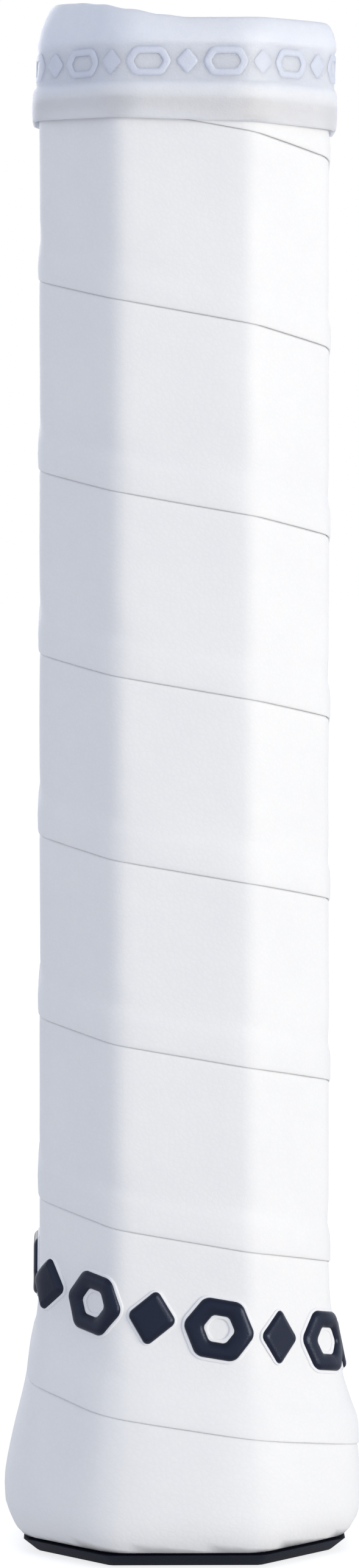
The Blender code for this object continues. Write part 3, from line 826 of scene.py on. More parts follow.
@dataclass(frozen=True)
class Winding:
    """How the tape runs round the handle.

    Attributes:
        form: The handle under it.
        bottom: Where it is cut level above the butt's lip.
        top: Where it is cut level under the collar.
        first_seam: Height of the lowest seam at the middle of the front.
        pitch: Height from seam to seam.
        lap: How far a turn covers the one below.
        widening: Extra height per turn in the last turns.
        even_turns: Turns before the widening.
        outside: The tape's surface above the bare handle.
        slack_climb: How much flatter the tape lies on the front than its pitch says.
    """

    form: HandleForm
    bottom: float
    top: float
    first_seam: float = 16.1 * MM
    pitch: float = 21.3 * MM
    lap: float = 3.3 * MM
    widening: float = 0.95 * MM
    even_turns: float = 5.0
    outside: float = 2.0 * MM
    slack_climb: float = 0.15

    @property
    def width(self) -> float:
        """The tape's width, up the handle."""
        return self.pitch + self.lap

    def seam(self, turns: float) -> float:
        """Height of the tape's lower edge.

        Args:
            turns: Turns wound up from the middle of the front, clockwise from above.

        Returns:
            The height there.
        """
        held = self.slack_climb * self.pitch * sin(2 * pi * turns) / (2 * pi)
        wide = self.widening * max(0.0, turns - self.even_turns)
        return self.first_seam + self.pitch * turns + wide - held

    @cached_property
    def knots(self) -> list[float]:
        """Where a turn's flats and corners begin and end.

        Returns:
            The share of a turn from the middle of the front to each of them, anticlockwise.
        """
        lengths = self.form.lengths(0.0, self.outside, self.form.extra_softness)
        places = [-lengths[0] / 2]
        for length in lengths:
            places.append(places[-1] + length)
        return [place / self.girth for place in places]

    @cached_property
    def girth(self) -> float:
        """Length of one turn on the straight part of the handle."""
        return sum(self.form.lengths(0.0, self.outside, self.form.extra_softness))

    @property
    def turn_length(self) -> float:
        """Length of tape in one turn."""
        return hypot(self.girth, self.pitch)

    def girth_at(self, height: float) -> float:
        """Length of one turn round the handle at a height."""
        form = self.form
        return sum(form.lengths(form.flare(height), self.outside, form.softness(height)))

    def turns(self, station: float) -> float:
        """Turns wound up at a station.

        Args:
            station: Flats and corners passed from the middle of the front, anticlockwise.

        Returns:
            The turns, which rise as the station falls.
        """
        whole, within = divmod(station, 2 * FACES)
        index = int(within)
        return -(whole + lerp(self.knots[index], self.knots[index + 1], within - index))

    def point(self, turns: float, height: float, rise: float = 0.0, soft: float = 0.0) -> Vector:
        """A point on the tape.

        Args:
            turns: Turns wound up from the middle of the front, clockwise.
            height: Above the floor.
            rise: Above the tape's even surface.
            soft: Added to the corners' radius.

        Returns:
            The point in space.
        """
        form = self.form
        flat = form.walk(-turns, form.flare(height), self.outside + rise, form.softness(height) + soft)
        return Vector((flat.x, flat.y, height))


@dataclass(frozen=True)
class Crease:
    """A small soft ridge in the skin, in millimetres.

    Attributes:
        start: Distance clockwise from the front's middle, and height, of one end.
        end: The same for the other end.
        width: Half its width.
        height: How far it stands out.
    """

    start: tuple[float, float]
    end: tuple[float, float]
    width: float
    height: float

    def rise(self, across: float, height: float) -> float:
        """How far it lifts the skin.

        Args:
            across: Distance clockwise from the middle of the front.
            height: Above the floor.

        Returns:
            The lift at that place.
        """
        here = Vector((across / MM, height / MM))
        start, end = Vector(self.start), Vector(self.end)
        run = end - start
        share = min(1.0, max(0.0, (here - start).dot(run) / run.length_squared))
        away = (here - start - run * share).length
        if away > 3 * self.width:
            return 0.0
        taper = sin(pi * (0.12 + 0.76 * share))
        return self.height * MM * taper * exp(-((away / self.width) ** 2))


@dataclass
class Span:
    """Rows of the tape's section from the last bend to this one.

    Attributes:
        reach: Distance of the bend above the tape's lower edge.
        rise: How far the surface stands off its even level there.
        rows: Rows in between, this one counted.
    """

    reach: float
    rise: float
    rows: int


@dataclass
class GripTape:
    """The white skin: one long flat strip wound round the handle with a lap.

    Attributes:
        winding: How it runs.
        thickness: Thickness of the skin.
        lip: How far a turn's lower edge stands out over the turn below.
        edge_round: Width of the rounding on that edge.
        ease: Width of the soft valley above a seam.
        columns_per_part: Columns of the strip on each flat and on each corner.
        spare_turns: Extra turns at each end, which the level cut takes off.
        lap_softness: How much rounder the corners are where the tape laps.
        swell: Size of the slow unevenness that hand winding leaves.
        swell_rate: How fast it changes round the handle and up it.
        margin: Extra length at each end, for the level cut.
        hollow_depth: Depth of the hollow at the end of each lap, beside the corners.
        hollow_size: Its half height.
        hollow_rise: How far its middle is above the end of the lap.
        bottom_roll: How far the bottom edge is drawn in.
        roll_height: Height over which it is drawn in.
        creases: Small folds that the pull of the winding left.
    """

    winding: Winding
    thickness: float = 0.45 * MM
    lip: float = 0.2 * MM
    edge_round: float = 0.22 * MM
    ease: float = 0.9 * MM
    columns_per_part: int = 5
    spare_turns: float = 0.3
    lap_softness: float = 1.6 * MM
    swell: float = 0.08 * MM
    swell_rate: tuple[float, float] = (1.7, 60.0)
    margin: float = 0.5 * MM
    hollow_depth: float = 0.2 * MM
    hollow_size: float = 1.3 * MM
    hollow_rise: float = 1.6 * MM
    bottom_roll: float = 0.3 * MM
    roll_height: float = 1.0 * MM
    creases: tuple[Crease, ...] = (
        Crease((5.0, 119.5), (4.6, 124.0), 0.45, 0.07),
        Crease((4.5, 111.2), (5.2, 106.0), 0.7, 0.05),
        Crease((6.3, 100.6), (7.4, 97.3), 0.6, 0.05),
        Crease((7.4, 97.3), (7.2, 92.0), 0.7, 0.045),
        Crease((14.6, 101.5), (13.2, 99.4), 0.7, 0.06),
        Crease((13.2, 99.4), (14.4, 97.5), 0.7, 0.05),
        Crease((-4.5, 64.0), (-7.0, 60.5), 0.9, 0.04),
        Crease((11.5, 57.0), (12.6, 52.0), 0.8, 0.05),
        Crease((10.0, 141.0), (11.8, 136.0), 0.9, 0.045),
        Crease((49.0, 90.0), (47.0, 84.0), 0.8, 0.06),
        Crease((-31.0, 15.6), (-21.0, 14.6), 2.4, 0.42),
        Crease((20.0, 18.5), (31.0, 18.5), 4.0, -0.40),
        Crease((20.0, 8.0), (31.0, 8.0), 3.5, 0.30),
        Crease((14.5, 18.0), (14.0, 9.0), 2.6, -0.38),
        Crease((9.0, 17.0), (9.5, 10.0), 2.4, 0.16),
        Crease((-46.0, 120.0), (-43.5, 115.0), 0.8, 0.06),
        Crease((30.0, 72.0), (31.5, 67.0), 0.8, 0.05),
        Crease((-28.0, 101.0), (-26.5, 96.0), 0.8, 0.05),
    )

    def spans(self, turns: float) -> list[Span]:
        """The strip's section.

        Args:
            turns: Turns wound up from the middle of the front.

        Returns:
            Its spans there, from the lower edge up.
        """
        winding = self.winding
        start = winding.width - (winding.seam(turns) - winding.seam(turns - 1))
        above = winding.seam(turns + 1) - winding.seam(turns)
        return [
            Span(0.0, self.lip - 0.17 * MM, 0),
            Span(self.edge_round * 0.3, self.lip - 0.07 * MM, 1),
            Span(self.edge_round, self.lip, 1),
            Span(start * 0.55, self.lip * 1.2, 3),
            Span(start, self.lip * 0.92, 3),
            Span(start + self.ease, self.lip * 0.25, 2),
            Span(start + 2 * self.ease, 0.0, 2),
            Span(above - self.ease, 0.0, 12),
            Span(above - 0.45 * self.ease, -0.015 * MM, 2),
            Span(above - 0.20 * MM, -0.05 * MM, 2),
            Span(above - 0.08 * MM, -0.13 * MM, 1),
            Span(above + 0.06 * MM, -0.30 * MM, 1),
            Span(above + 0.40 * MM, -0.31 * MM, 1),
            Span(winding.width, -0.32 * MM, 2),
        ]

    def rows(self, turns: float) -> list[tuple[float, float]]:
        """The rows that the strip's section is made of.

        Args:
            turns: Turns wound up from the middle of the front.

        Returns:
            For each row, its distance above the lower edge and its rise.
        """
        spans = self.spans(turns)
        found = [(spans[0].reach, spans[0].rise)]
        for before, after in zip(spans, spans[1:]):
            for step in range(1, after.rows + 1):
                share = step / after.rows
                reach = lerp(before.reach, after.reach, share)
                found.append((reach, lerp(before.rise, after.rise, share)))
        return found

    def hollow(self, turns: float, reach: float) -> float:
        """Depth of the hollow beside each corner, where the tape bridges the end of the lap.

        Args:
            turns: Turns wound up from the middle of the front.
            reach: Distance above the tape's lower edge.

        Returns:
            The depth at that place.
        """
        winding = self.winding
        off = (reach - winding.lap - self.hollow_rise) / self.hollow_size
        share = -turns % 1.0
        corners = zip(winding.knots[1::2], winding.knots[2::2])
        gaps = [abs((share - (low + high) / 2 + 0.5) % 1.0 - 0.5) for low, high in corners]
        beside = min(gaps) * winding.girth / (2 * self.hollow_size)
        return self.hollow_depth * exp(-off * off - beside * beside)

    def unevenness(self, turns: float, height: float) -> float:
        """The slow swell of the surface, its creases and the roll of its bottom edge.

        Args:
            turns: Turns wound up from the middle of the front.
            height: Above the floor.

        Returns:
            How far the surface stands off its even level.
        """
        across = (turns - round(turns)) * self.winding.girth
        rate, climb = self.swell_rate
        where = Vector((cos(2 * pi * turns), sin(2 * pi * turns), height * climb)) * rate
        level = self.swell * noise.noise(where)
        level -= self.bottom_roll * (1 - smooth(0.0, self.roll_height, height - self.winding.bottom))
        return level + sum(crease.rise(across, height) for crease in self.creases)

    def wind(self, shape: BMesh, start: float, columns: int, rows: int) -> None:
        """Winds a flat grid round the handle, with its flat place as its UV map.

        Args:
            shape: The grid, one unit wide and long about its middle.
            start: Station of its first column.
            columns: Its cells along the tape.
            rows: Its cells across the tape.
        """
        winding = self.winding
        laid = shape.loops.layers.uv.new("tape")
        flat: dict[int, Vector] = {}
        sections: dict[int, tuple[float, list[tuple[float, float]]]] = {}
        for vert in shape.verts:
            column = round((vert.co.x + 0.5) * columns)
            row = round((vert.co.y + 0.5) * rows)
            if column not in sections:
                turns = winding.turns(start - column / self.columns_per_part)
                sections[column] = (turns, self.rows(turns))
            turns, section = sections[column]
            reach, rise = section[row]
            height = winding.seam(turns) + reach
            flat[vert.index] = Vector((turns * winding.girth, reach))
            soft = self.lap_softness * max(0.0, rise) / self.lip
            rise += self.unevenness(turns, height) - self.hollow(turns, reach)
            vert.co = winding.point(turns, height, rise, soft)
        for face in shape.faces:
            for loop in face.loops:
                loop[laid].uv = flat[loop.vert.index]

    def build(self) -> None:
        """Winds the strip, cuts it level, gives it its thickness and logs its flat length."""
        winding = self.winding
        first = (winding.bottom + self.margin - winding.width - winding.first_seam) / winding.pitch
        last = (winding.top - self.margin - winding.first_seam) / winding.pitch
        start = (self.spare_turns - first) * 2 * FACES
        columns = ceil((last - first + 2 * self.spare_turns) * 2 * FACES * self.columns_per_part)
        rows = len(self.rows(0.0)) - 1
        shape = bmesh.new()
        bmesh.ops.create_grid(shape, x_segments=columns, y_segments=rows, size=0.5)
        self.wind(shape, start, columns, rows)
        for height, up in ((winding.bottom, -1.0), (winding.top, 1.0)):
            cut(shape, (0, 0, height), (0, 0, up), clear=True)
        shape.normal_update()
        middle = shape.faces[:][len(shape.faces) // 2]
        if middle.normal.xy.dot(middle.calc_center_median().xy) < 0:
            bmesh.ops.reverse_faces(shape, faces=shape.faces)
        piece = add_piece(finished_mesh(shape, "grip_tape_skin", 50.0), HANDLE, WHITE_SKIN)
        wall = piece.modifiers.new("thickness", "SOLIDIFY")
        wall.thickness = self.thickness
        wall.offset = -1.0
        wall.use_even_offset = False
        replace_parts(piece, "grip_skin")
        length = (last - first) * winding.turn_length
        across = winding.width * winding.girth / winding.turn_length
        LOG.info("tape skin: %d columns, %d rows, %.0f mm long", columns, rows, length / MM)


@dataclass(frozen=True)
class FeltBacking:
    """The felt layer between the handle and the skin.

    Attributes:
        winding: The tape over it.
        bottom: Its lower end.
        top: Its upper end.
        inner: Its inside, from the bare handle.
        outer: Its outside, from the bare handle.
        drawn_in: How far its lower end is drawn in.
        drawn_height: Height over which it is drawn in.
        columns: Points round it.
        row_spacing: Height between its rows.
    """

    winding: Winding
    bottom: float
    top: float
    inner: float = 0.35 * MM
    outer: float = 1.2 * MM
    drawn_in: float = 0.3 * MM
    drawn_height: float = 2 * MM
    columns: int = 128
    row_spacing: float = 2.0 * MM

    def place(self, share: float, layer: float, height: float) -> Vector:
        """A point of the layer.

        Args:
            share: Share of the way round, anticlockwise from the front's middle.
            layer: Distance out from the bare handle.
            height: Above the floor.

        Returns:
            The point in space.
        """
        form = self.winding.form
        inwards = self.drawn_in * (1 - smooth(0.0, self.drawn_height, height - self.bottom))
        flat = form.walk(share, form.flare(height), layer - inwards, form.softness(height))
        return Vector((flat.x, flat.y, height))

    def build(self) -> None:
        """Extrudes a ring up the outside and down the inside."""
        count = ceil((self.top - self.bottom) / self.row_spacing)
        heights = [lerp(self.bottom, self.top, number / count) for number in range(count + 1)]
        rows = [partial(self.place, layer=self.outer, height=height) for height in heights]
        rows += [partial(self.place, layer=self.inner, height=height) for height in reversed(heights)]
        wall = finished_mesh(ring_wall(self.columns, rows), "felt_backing")
        piece = add_piece(wall, HANDLE, GREY_FELT)
        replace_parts(piece, "grip_backing")
        winding = self.winding
        strip = winding.pitch * winding.girth / winding.turn_length
        length = (self.top - self.bottom) / winding.pitch * winding.turn_length
        LOG.info("felt backing: %d rows", len(rows))


# --- the raised marks ------------------------------------------------------------------------


class MarkKind(Enum):
    """The two shapes in the row of raised marks."""

    LINK = "link"
    LOZENGE = "lozenge"


@dataclass(frozen=True)
class Relief:
    """A domed outline in rubber, drawn flat and then wrapped on a surface.

    Attributes:
        kind: Its shape.
        size: Its width and height.
        height: How far it stands out.
        sink: How far it reaches under the surface.
        stroke: Width of a link's band.
        corner: Radius of its corners.
        steps: Insets and lifts, in millimetres, that dome its top.
        arc_steps: Steps in a rounded corner.
        cut_spacing: Width of the strips that it is cut into, so that it can bend.
    """

    kind: MarkKind
    size: tuple[float, float]
    height: float
    sink: float = 0.35 * MM
    stroke: float = 1.9 * MM
    corner: float = 0.7 * MM
    steps: tuple[tuple[float, float], ...] = (
        (0.08, 0.15), (0.14, 0.15), (0.24, 0.12), (0.32, 0.05),
    )
    arc_steps: int = 5
    cut_spacing: float = 0.45 * MM

    def grown(self, border: float, height: float) -> "Relief":
        """The border that goes round this outline.

        Args:
            border: How much wider it is.
            height: How far it stands out.

        Returns:
            The border, whole, to lie under this relief.
        """
        size = (self.size[0] + 2.4 * border, self.size[1] + 2 * border)
        return Relief(
            self.kind, size, height, self.sink, self.stroke + 2 * border, self.corner + border,
            ((0.08, 0.05), (0.1, 0.03)), self.arc_steps, self.cut_spacing,
        )

    def corners(self, width: float, height: float) -> list[tuple[float, float]]:
        """The corners of a hexagon or a lozenge.

        Args:
            width: Half its width.
            height: Half its height.

        Returns:
            The corners, anticlockwise.
        """
        shoulder = width - height * 0.6
        if self.kind is MarkKind.LOZENGE or shoulder <= 0:
            return [(-width, 0), (0, -height), (width, 0), (0, height)]
        low = [(-width, 0), (-shoulder, -height), (shoulder, -height)]
        return low + [(-x, -y) for x, y in low]

    def draw(self, shape: BMesh, corners: Sequence[tuple[float, float]], radius: float) -> None:
        """Draws a closed outline with rounded corners.

        Args:
            shape: The bmesh to draw in.
            corners: Its corners, in turn.
            radius: How far they are rounded.
        """
        verts = [shape.verts.new((*point, 0)) for point in corners]
        for number, vert in enumerate(verts):
            shape.edges.new((verts[number - 1], vert))
        bmesh.ops.bevel(
            shape, geom=verts, offset=radius, offset_type="OFFSET", affect="VERTICES",
            segments=self.arc_steps, profile=0.5, material=-1,
        )

    def model(self, slope: float, wrap: Callable[[float, float, float], Vector]) -> BMesh:
        """Models the relief.

        Args:
            slope: Angle that it is turned by, anticlockwise.
            wrap: Gives the place of a flat point, from its distances across, up and out.

        Returns:
            The closed shape, in its place.
        """
        shape = bmesh.new()
        half_width, half_height = self.size[0] / 2, self.size[1] / 2
        self.draw(shape, self.corners(half_width, half_height), self.corner)
        if self.kind is MarkKind.LINK:
            hole = self.corners(half_width - self.stroke * 1.25, half_height - self.stroke)
            self.draw(shape, hole, self.corner / 2)
        bmesh.ops.triangle_fill(shape, edges=shape.edges[:], use_beauty=True, normal=(0, 0, 1))
        made = bmesh.ops.extrude_face_region(shape, geom=shape.faces[:])["geom"]
        top = [item for item in made if isinstance(item, BMFace)]
        rim = {vert for face in top for vert in face.verts}
        wall = self.sink + self.height - sum(lift for _, lift in self.steps) * MM
        bmesh.ops.translate(shape, vec=(0, 0, wall), verts=list(rim))
        bmesh.ops.recalc_face_normals(shape, faces=shape.faces)
        for inset, lift in self.steps:
            bmesh.ops.inset_region(
                shape, faces=top, thickness=inset * MM, depth=lift * MM,
                use_even_offset=True, use_boundary=True,
            )
        turned = Matrix.Rotation(slope, 3, "Z")
        bmesh.ops.rotate(shape, verts=shape.verts, cent=(0, 0, 0), matrix=turned)
        lines = ceil(half_width / self.cut_spacing)
        for step in range(-lines, lines + 1):
            cut(shape, (step * self.cut_spacing, 0, 0), (1, 0, 0))
        for vert in shape.verts:
            vert.co = wrap(vert.co.x, vert.co.y, vert.co.z - self.sink)
        outwards(shape)
        return shape


@dataclass(frozen=True)
class MarkRow:
    """A row of domed rubber marks, each in a thin white border, along the tape.

    Attributes:
        winding: The tape under it.
        pairs: Links and lozenges in one turn.
        height: Of the row's middle above the tape's lower edge.
        relief: How far a mark stands out.
        border: Width of the white border.
        border_relief: How far the border stands out.
        lozenge_size: Width and height of a lozenge.
        link_size: Width and height of a link.
    """

    winding: Winding
    pairs: int = 7
    height: float = 11.9 * MM
    relief: float = 0.72 * MM
    border: float = 0.34 * MM
    border_relief: float = 0.24 * MM
    lozenge_size: tuple[float, float] = (5.8 * MM, 6.6 * MM)
    link_size: tuple[float, float] = (8.4 * MM, 6.8 * MM)

    def build(self) -> None:
        """Lays the whole row along the tape."""
        winding = self.winding
        lozenge = Relief(MarkKind.LOZENGE, self.lozenge_size, self.relief)
        link = Relief(MarkKind.LINK, self.link_size, self.relief)
        slope = atan2(winding.pitch * (1 - winding.slack_climb), winding.girth)
        count = 2 * self.pairs
        for number in range(count):
            share = (number + 0.5) / count - 0.5
            middle = winding.seam(-share) + self.height
            girth = winding.girth_at(middle)

            def wrap(across: float, up: float, out: float) -> Vector:
                """Lays a point of the flat mark on the tape."""
                return winding.point(-(share + across / girth), middle + up, out)

            dome = link if number % 2 else lozenge
            label = f"{number + 1:02d}"
            border = dome.grown(self.border, self.border_relief).model(-slope, wrap)
            border_mesh = finished_mesh(border, f"mark_border_{label}", 60.0)
            add_piece(border_mesh, HANDLE, WHITE_RELIEF)
            mesh = finished_mesh(dome.model(-slope, wrap), f"mark_dome_{label}", 60.0)
            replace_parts(add_piece(mesh, HANDLE, NAVY_RUBBER), f"raised_mark_{label}")
        LOG.info("marks: %d in the row", count)


# --- the collar ------------------------------------------------------------------------------


@dataclass(frozen=True)
class Collar:
    """The soft rubber collar, worn a little askew.

    Attributes:
        form: The handle inside it.
        bottom: Its lower end.
        height: To the rim's mean height.
        bore: Its bore, from the bare handle.
        mouth: The wider mouth at its lower end, which takes the tape.
        lean: How far its top has slipped to the right.
        hem_dip: How far its lower end tips.
        columns: Points round it.
        lip_growth: The rim's inside, from the bare handle.
        softness: Added to the corners' radius outside and on the rim.
        bore_softness: Added to it in the bore.
        lump: Size of the wall's unevenness.
        lump_rate: How fast that changes across the handle and up it.
        rim_heights: Angle round the handle, in degrees, and the rim's height there, in millimetres.
        rim_draw: How far the wall is drawn in, for each unit that the rim stands up.
        stud_height: Of the studs' middle above the lower end.
        stud_count: Studs in the row.
        channel: The channel's floor, from the bare handle.
        link_size: Width and height of a stud of the link kind.
        lozenge_size: The same for a lozenge.
        stud_relief: How far a stud stands out.
    """

    form: HandleForm
    bottom: float
    height: float = 12.45 * MM
    bore: float = 1.6 * MM
    mouth: float = 2.5 * MM
    lean: float = 0.4 * MM
    hem_dip: float = 0.45 * MM
    columns: int = 192
    lip_growth: float = 1.0 * MM
    softness: float = 4.6 * MM
    bore_softness: float = 2.4 * MM
    lump: float = 0.05 * MM
    lump_rate: tuple[float, float] = (160.0, 220.0)
    rim_heights: tuple[tuple[float, float], ...] = (
        (-180, 1.60), (-160, 1.78), (-146, 1.66), (-132, 1.25), (-116, 0.45), (-103, -0.2),
        (-90, -0.52), (-72, -0.5), (-53, -0.38), (-35, -0.32), (-15, -0.3), (10, -0.2), (40, 0.0),
        (70, 0.25), (100, 0.45), (130, 0.75), (155, 1.2), (180, 1.60),
    )
    rim_draw: float = 0.36
    stud_height: float = 6.75 * MM
    stud_count: int = 24
    channel: float = 2.42 * MM
    link_size: tuple[float, float] = (5.4 * MM, 3.3 * MM)
    lozenge_size: tuple[float, float] = (2.7 * MM, 3.1 * MM)
    stud_relief: float = 0.22 * MM

    def profile(self) -> list[tuple[float, float, float]]:
        """The wall's section, up the inside and down the outside.

        Returns:
            For each row, its height above the lower end, its distance out from the bare handle
            and how much of the rim's wave it takes.
        """
        top = self.height
        return [
            (0.25 * MM, self.mouth, 0.0),
            (2.5 * MM, self.mouth, 0.0),
            (3.0 * MM, self.bore, 0.0),
            (top - 2.4 * MM, self.bore, 0.3),
            (top - 1.2 * MM, self.bore - 0.15 * MM, 0.7),
            (top - 0.6 * MM, self.lip_growth + 0.1 * MM, 0.95),
            (top - 0.2 * MM, self.lip_growth, 1.0),
            (top, self.lip_growth + 0.25 * MM, 1.0),
            (top - 0.05 * MM, self.lip_growth + 0.6 * MM, 1.0),
            (top - 0.4 * MM, 1.9 * MM, 0.95),
            (top - 1.1 * MM, 2.25 * MM, 0.85),
            (top - 2.2 * MM, 2.55 * MM, 0.55),
            (top - 3.1 * MM, 2.68 * MM, 0.25),
            (top - 3.45 * MM, 2.64 * MM, 0.15),
            (top - 3.65 * MM, 2.47 * MM, 0.1),
            (top - 3.9 * MM, 2.4 * MM, 0.05),
            (6.2 * MM, 2.47 * MM, 0.0),
            (4.7 * MM, 2.52 * MM, 0.0),
            (4.45 * MM, 2.6 * MM, 0.0),
            (4.2 * MM, 2.82 * MM, 0.0),
            (3.8 * MM, 2.93 * MM, 0.0),
            (2.2 * MM, 2.98 * MM, 0.0),
            (0.9 * MM, 2.97 * MM, 0.0),
            (0.3 * MM, 2.9 * MM, 0.0),
            (0.05 * MM, 2.78 * MM, 0.0),
            (0.0, 2.66 * MM, 0.0),
        ]

    def swing(self, angle: float) -> float:
        """How far the rim stands above its mean height.

        Args:
            angle: Round the handle, anticlockwise from +X.

        Returns:
            The height there.
        """
        degrees = angle * 180 / pi
        for (start, low), (end, high) in zip(self.rim_heights, self.rim_heights[1:]):
            if degrees <= end:
                return lerp(low, high, smooth(start, end, degrees)) * MM
        return self.rim_heights[-1][1] * MM

    def place(self, share: float, rise: float, layer: float, wave: float) -> Vector:
        """A point of the collar, with its lean, its wavy rim and its uneven hem.

        Args:
            share: Share of the way round, anticlockwise from the front's middle.
            rise: Height above the lower end.
            layer: Distance out from the bare handle.
            wave: How much of the rim's wave the point takes.

        Returns:
            The point in space.
        """
        outer = smooth(self.mouth - 0.1 * MM, self.mouth + 0.2 * MM, layer)
        rim = smooth(self.height - 3 * MM, self.height - MM, rise)
        soft = lerp(self.bore_softness, self.softness, max(outer, rim))
        even = self.form.walk(share, 0.0, layer, soft)
        rate, climb = self.lump_rate
        uneven = self.lump * noise.noise(Vector((even.x * rate, even.y * rate, rise * climb)))
        drawn = self.rim_draw * max(0.0, wave * self.swing(atan2(even.y, even.x)))
        flat = self.form.walk(share, 0.0, layer + uneven - drawn, soft)
        hem = (1 - smooth(0.0, 6 * MM, rise)) * self.hem_dip * flat.x / self.form.half_width
        swing = wave * self.swing(atan2(flat.y, flat.x))
        shift = self.lean * rise / self.height
        return Vector((flat.x + shift, flat.y, self.bottom + rise + swing - hem))

    def build(self) -> None:
        """Extrudes a ring through the profile, joins its ends and adds the studs."""
        rows = [
            partial(self.place, rise=rise, layer=layer, wave=wave)
            for rise, layer, wave in self.profile()
        ]
        shape = ring_wall(self.columns, rows)
        piece = add_piece(finished_mesh(shape, "grip_collar_rubber", 55.0), COLLAR, MILKY_RUBBER)
        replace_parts(piece, "grip_collar")
        self.build_studs()
        LOG.info("collar: %d columns", self.columns)

    def build_studs(self) -> None:
        """A row of low links and lozenges in the channel, all the way round."""
        shape = bmesh.new()
        link = Relief(
            MarkKind.LINK, self.link_size, self.stud_relief, stroke=0.75 * MM, corner=0.5 * MM,
            steps=((0.1, 0.08), (0.12, 0.04)),
        )
        lozenge = Relief(
            MarkKind.LOZENGE, self.lozenge_size, self.stud_relief, corner=0.4 * MM,
            steps=((0.1, 0.08), (0.2, 0.05)),
        )
        girth = sum(self.form.lengths(0.0, 2.5 * MM, self.softness))
        for number in range(self.stud_count):
            start = number / self.stud_count

            def wrap(across: float, up: float, out: float) -> Vector:
                """Lays a point of the flat stud on the channel's wall."""
                share = start + across / girth
                return self.place(share, self.stud_height + up, self.channel + out, 0.0)

            stud = (link if number % 2 else lozenge).model(0.0, wrap)
            mesh = bpy.data.meshes.new("stud")
            stud.to_mesh(mesh)
            stud.free()
            shape.from_mesh(mesh)
            bpy.data.meshes.remove(mesh)
        add_piece(finished_mesh(shape, "collar_studs"), COLLAR, MILKY_STUDS)


# --- everything else -------------------------------------------------------------------------


@dataclass(frozen=True)
class Mouldings:
    """The hard pieces: cap, door, pallets, tubes, weights and staples.

    Attributes:
        edge: How far the pallets' edges are rounded.
    """

    edge: float = 0.25 * MM

    def build(self) -> None:
        """Rounds the mouldings whose edges show, and dresses the rest as they are."""
        softened("butt_cap", HANDLE, NAVY_PLASTIC, 0.18 * MM)
        softened("butt_door", DOOR, NAVY_PLASTIC, 0.2 * MM)
        for side in ("left", "right"):
            softened(f"shaft_tube_{side}", HANDLE, CARBON, 0.15 * MM, 2)
            WHITE_FOAM.dress(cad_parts[f"foam_core_{side}"])
            LEAD.dress(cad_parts[f"tail_weight_{side}"])
        for side in ("front", "back"):
            softened(f"pallet_{side}", HANDLE, TAN_FOAM, self.edge, 2)
        for side in ("front", "right", "back", "left"):
            STEEL.dress(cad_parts[f"cap_staple_{side}"])
        softened("finishing_tape", HANDLE, CLEAR_BAND, 0.2 * MM, 2)
        LOG.info("mouldings: dressed")


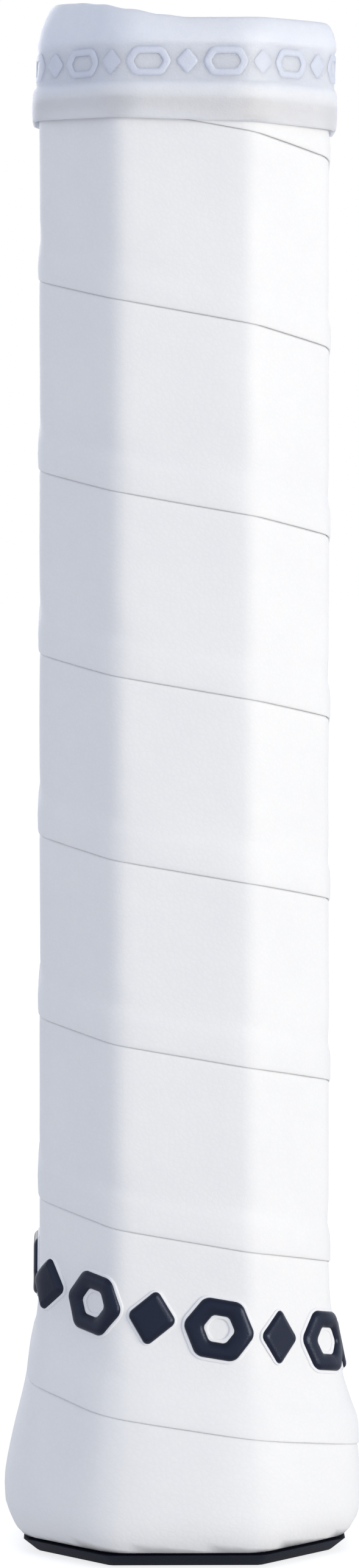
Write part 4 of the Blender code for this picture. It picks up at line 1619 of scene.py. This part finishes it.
@dataclass(frozen=True)
class Studio:
    """Camera, floor and soft light.

    Attributes:
        distance: From the camera to the handle's axis.
        eye_height: Height of the level camera.
        lens: Focal length in millimetres, on a 36 mm frame.
        turn: How far the camera is turned round the handle, in degrees.
        shift: The lens shift that frames the handle.
        floor_gap: How far the floor is below the butt, so that their faces don't mix.
        aim: What the lights face.
    """

    distance: float = 0.580
    eye_height: float = 0.1214
    lens: float = 112.3
    turn: float = -0.7
    shift: tuple[float, float] = (-0.0027, -0.172)
    floor_gap: float = 0.1 * MM
    aim: tuple[float, float, float] = (0.0, 0.0, 0.09)

    def build(self) -> None:
        """Sets up the camera, the floor, the world and the lights."""
        scene = bpy.context.scene
        scene.view_settings.view_transform = "Standard"
        data = bpy.data.cameras.new("camera")
        data.lens = self.lens
        data.sensor_width = 36.0
        data.shift_x, data.shift_y = self.shift
        data.clip_start = 0.01
        camera = linked("camera", data)
        angle = radians(self.turn)
        camera.location = (self.distance * sin(angle), -self.distance * cos(angle), self.eye_height)
        camera.rotation_euler = (pi / 2, 0.0, angle)
        scene.camera = camera
        self.build_floor()
        self.build_world()
        self.light("key", (0.68, -0.55, 0.15), 0.5, 4.7, (1.0, 0.94, 0.80))
        self.light("back_fill", (-0.35, 0.95, 0.40), 0.6, 2.0, (1.0, 0.97, 0.92))

    def build_floor(self) -> None:
        """A wide pale floor that glows a little, to stay as bright as the backdrop.

        It is clear from below, so that the butt can be seen.
        """
        shape = bmesh.new()
        bmesh.ops.create_grid(shape, x_segments=8, y_segments=8, size=6.0)
        bmesh.ops.translate(shape, vec=(0.0, 0.0, -self.floor_gap), verts=shape.verts)
        mesh = bpy.data.meshes.new("floor")
        shape.to_mesh(mesh)
        shape.free()
        material = bpy.data.materials.new("pale_floor")
        material.use_nodes = True
        shader = material.node_tree.nodes["Principled BSDF"]
        graph = Graph(material.node_tree)
        seen = graph.add("LightPath").outputs["Is Camera Ray"]
        shader_inputs = {
            "Base Color": (0.45, 0.455, 0.475, 1.0), "Roughness": 0.9, "Specular IOR Level": 0.0,
            "Emission Color": (1.0, 1.0, 1.0, 1.0),
            "Emission Strength": graph.ramp(seen, 0.0, 1.0, 0.25, 0.75),
        }
        for name, value in shader_inputs.items():
            graph.put(shader.inputs[name], value)
        below = graph.add("NewGeometry").outputs["Backfacing"]
        clear = graph.add("BsdfTransparent").outputs[0]
        mixed = graph.add("MixShader", {0: below, 1: shader.outputs[0], 2: clear})
        surface = material.node_tree.nodes["Material Output"].inputs["Surface"]
        graph.put(surface, mixed.outputs[0])
        mesh.materials.append(material)
        linked("floor", mesh)

    @staticmethod
    def build_world() -> None:
        """A white backdrop, and a softer, cooler light from it that fades overhead."""
        world = bpy.data.worlds.new("studio")
        world.use_nodes = True
        bpy.context.scene.world = world
        graph = Graph(world.node_tree)
        world.node_tree.nodes.clear()
        seen = graph.add("Background", {"Color": (1.0, 1.0, 1.0, 1.0), "Strength": 1.0})
        ray_direction = graph.add("TexCoord").outputs["Generated"]
        upwards = graph.add("SeparateXYZ", {0: ray_direction}).outputs["Z"]
        strength = graph.ramp(upwards, 0.0, 1.0, 1.09, 0.54)
        cool = (0.825, 0.878, 1.0, 1.0)
        lighting = graph.add("Background", {"Color": cool, "Strength": strength})
        ray = graph.add("LightPath").outputs["Is Camera Ray"]
        mixed = graph.add("MixShader", {0: ray, 1: lighting.outputs[0], 2: seen.outputs[0]})
        graph.add("OutputWorld", {"Surface": mixed.outputs[0]})

    def light(
        self, name: str, place: tuple[float, float, float], size: float, power: float, colour: Colour
    ) -> None:
        """Adds a square area light that faces the middle of the handle.

        Args:
            name: Its name.
            place: Where it stands.
            size: Length of its side.
            power: In watts.
            colour: Of its light.
        """
        data = bpy.data.lights.new(name, "AREA")
        data.shape = "SQUARE"
        data.size = size
        data.energy = power
        data.color = colour
        lamp = linked(name, data)
        lamp.location = place
        towards = Vector(self.aim) - Vector(place)
        lamp.rotation_euler = towards.to_track_quat("-Z", "Y").to_euler()


def main() -> None:
    """Builds and dresses the handle."""
    logging.basicConfig(level=logging.INFO, format="%(name)s: %(message)s")
    Studio().build()
    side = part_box("pallet_front")
    form = HandleForm(half_width=side[1][0], half_depth=-side[0][1])
    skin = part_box("grip_skin")
    winding = Winding(form, bottom=skin[0][2], top=skin[1][2])
    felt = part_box("grip_backing")
    FeltBacking(winding, bottom=felt[0][2], top=felt[1][2]).build()
    GripTape(winding).build()
    MarkRow(winding).build()
    Collar(form, bottom=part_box("grip_collar")[0][2]).build()
    Mouldings().build()


if __name__ == "__main__":
    main()
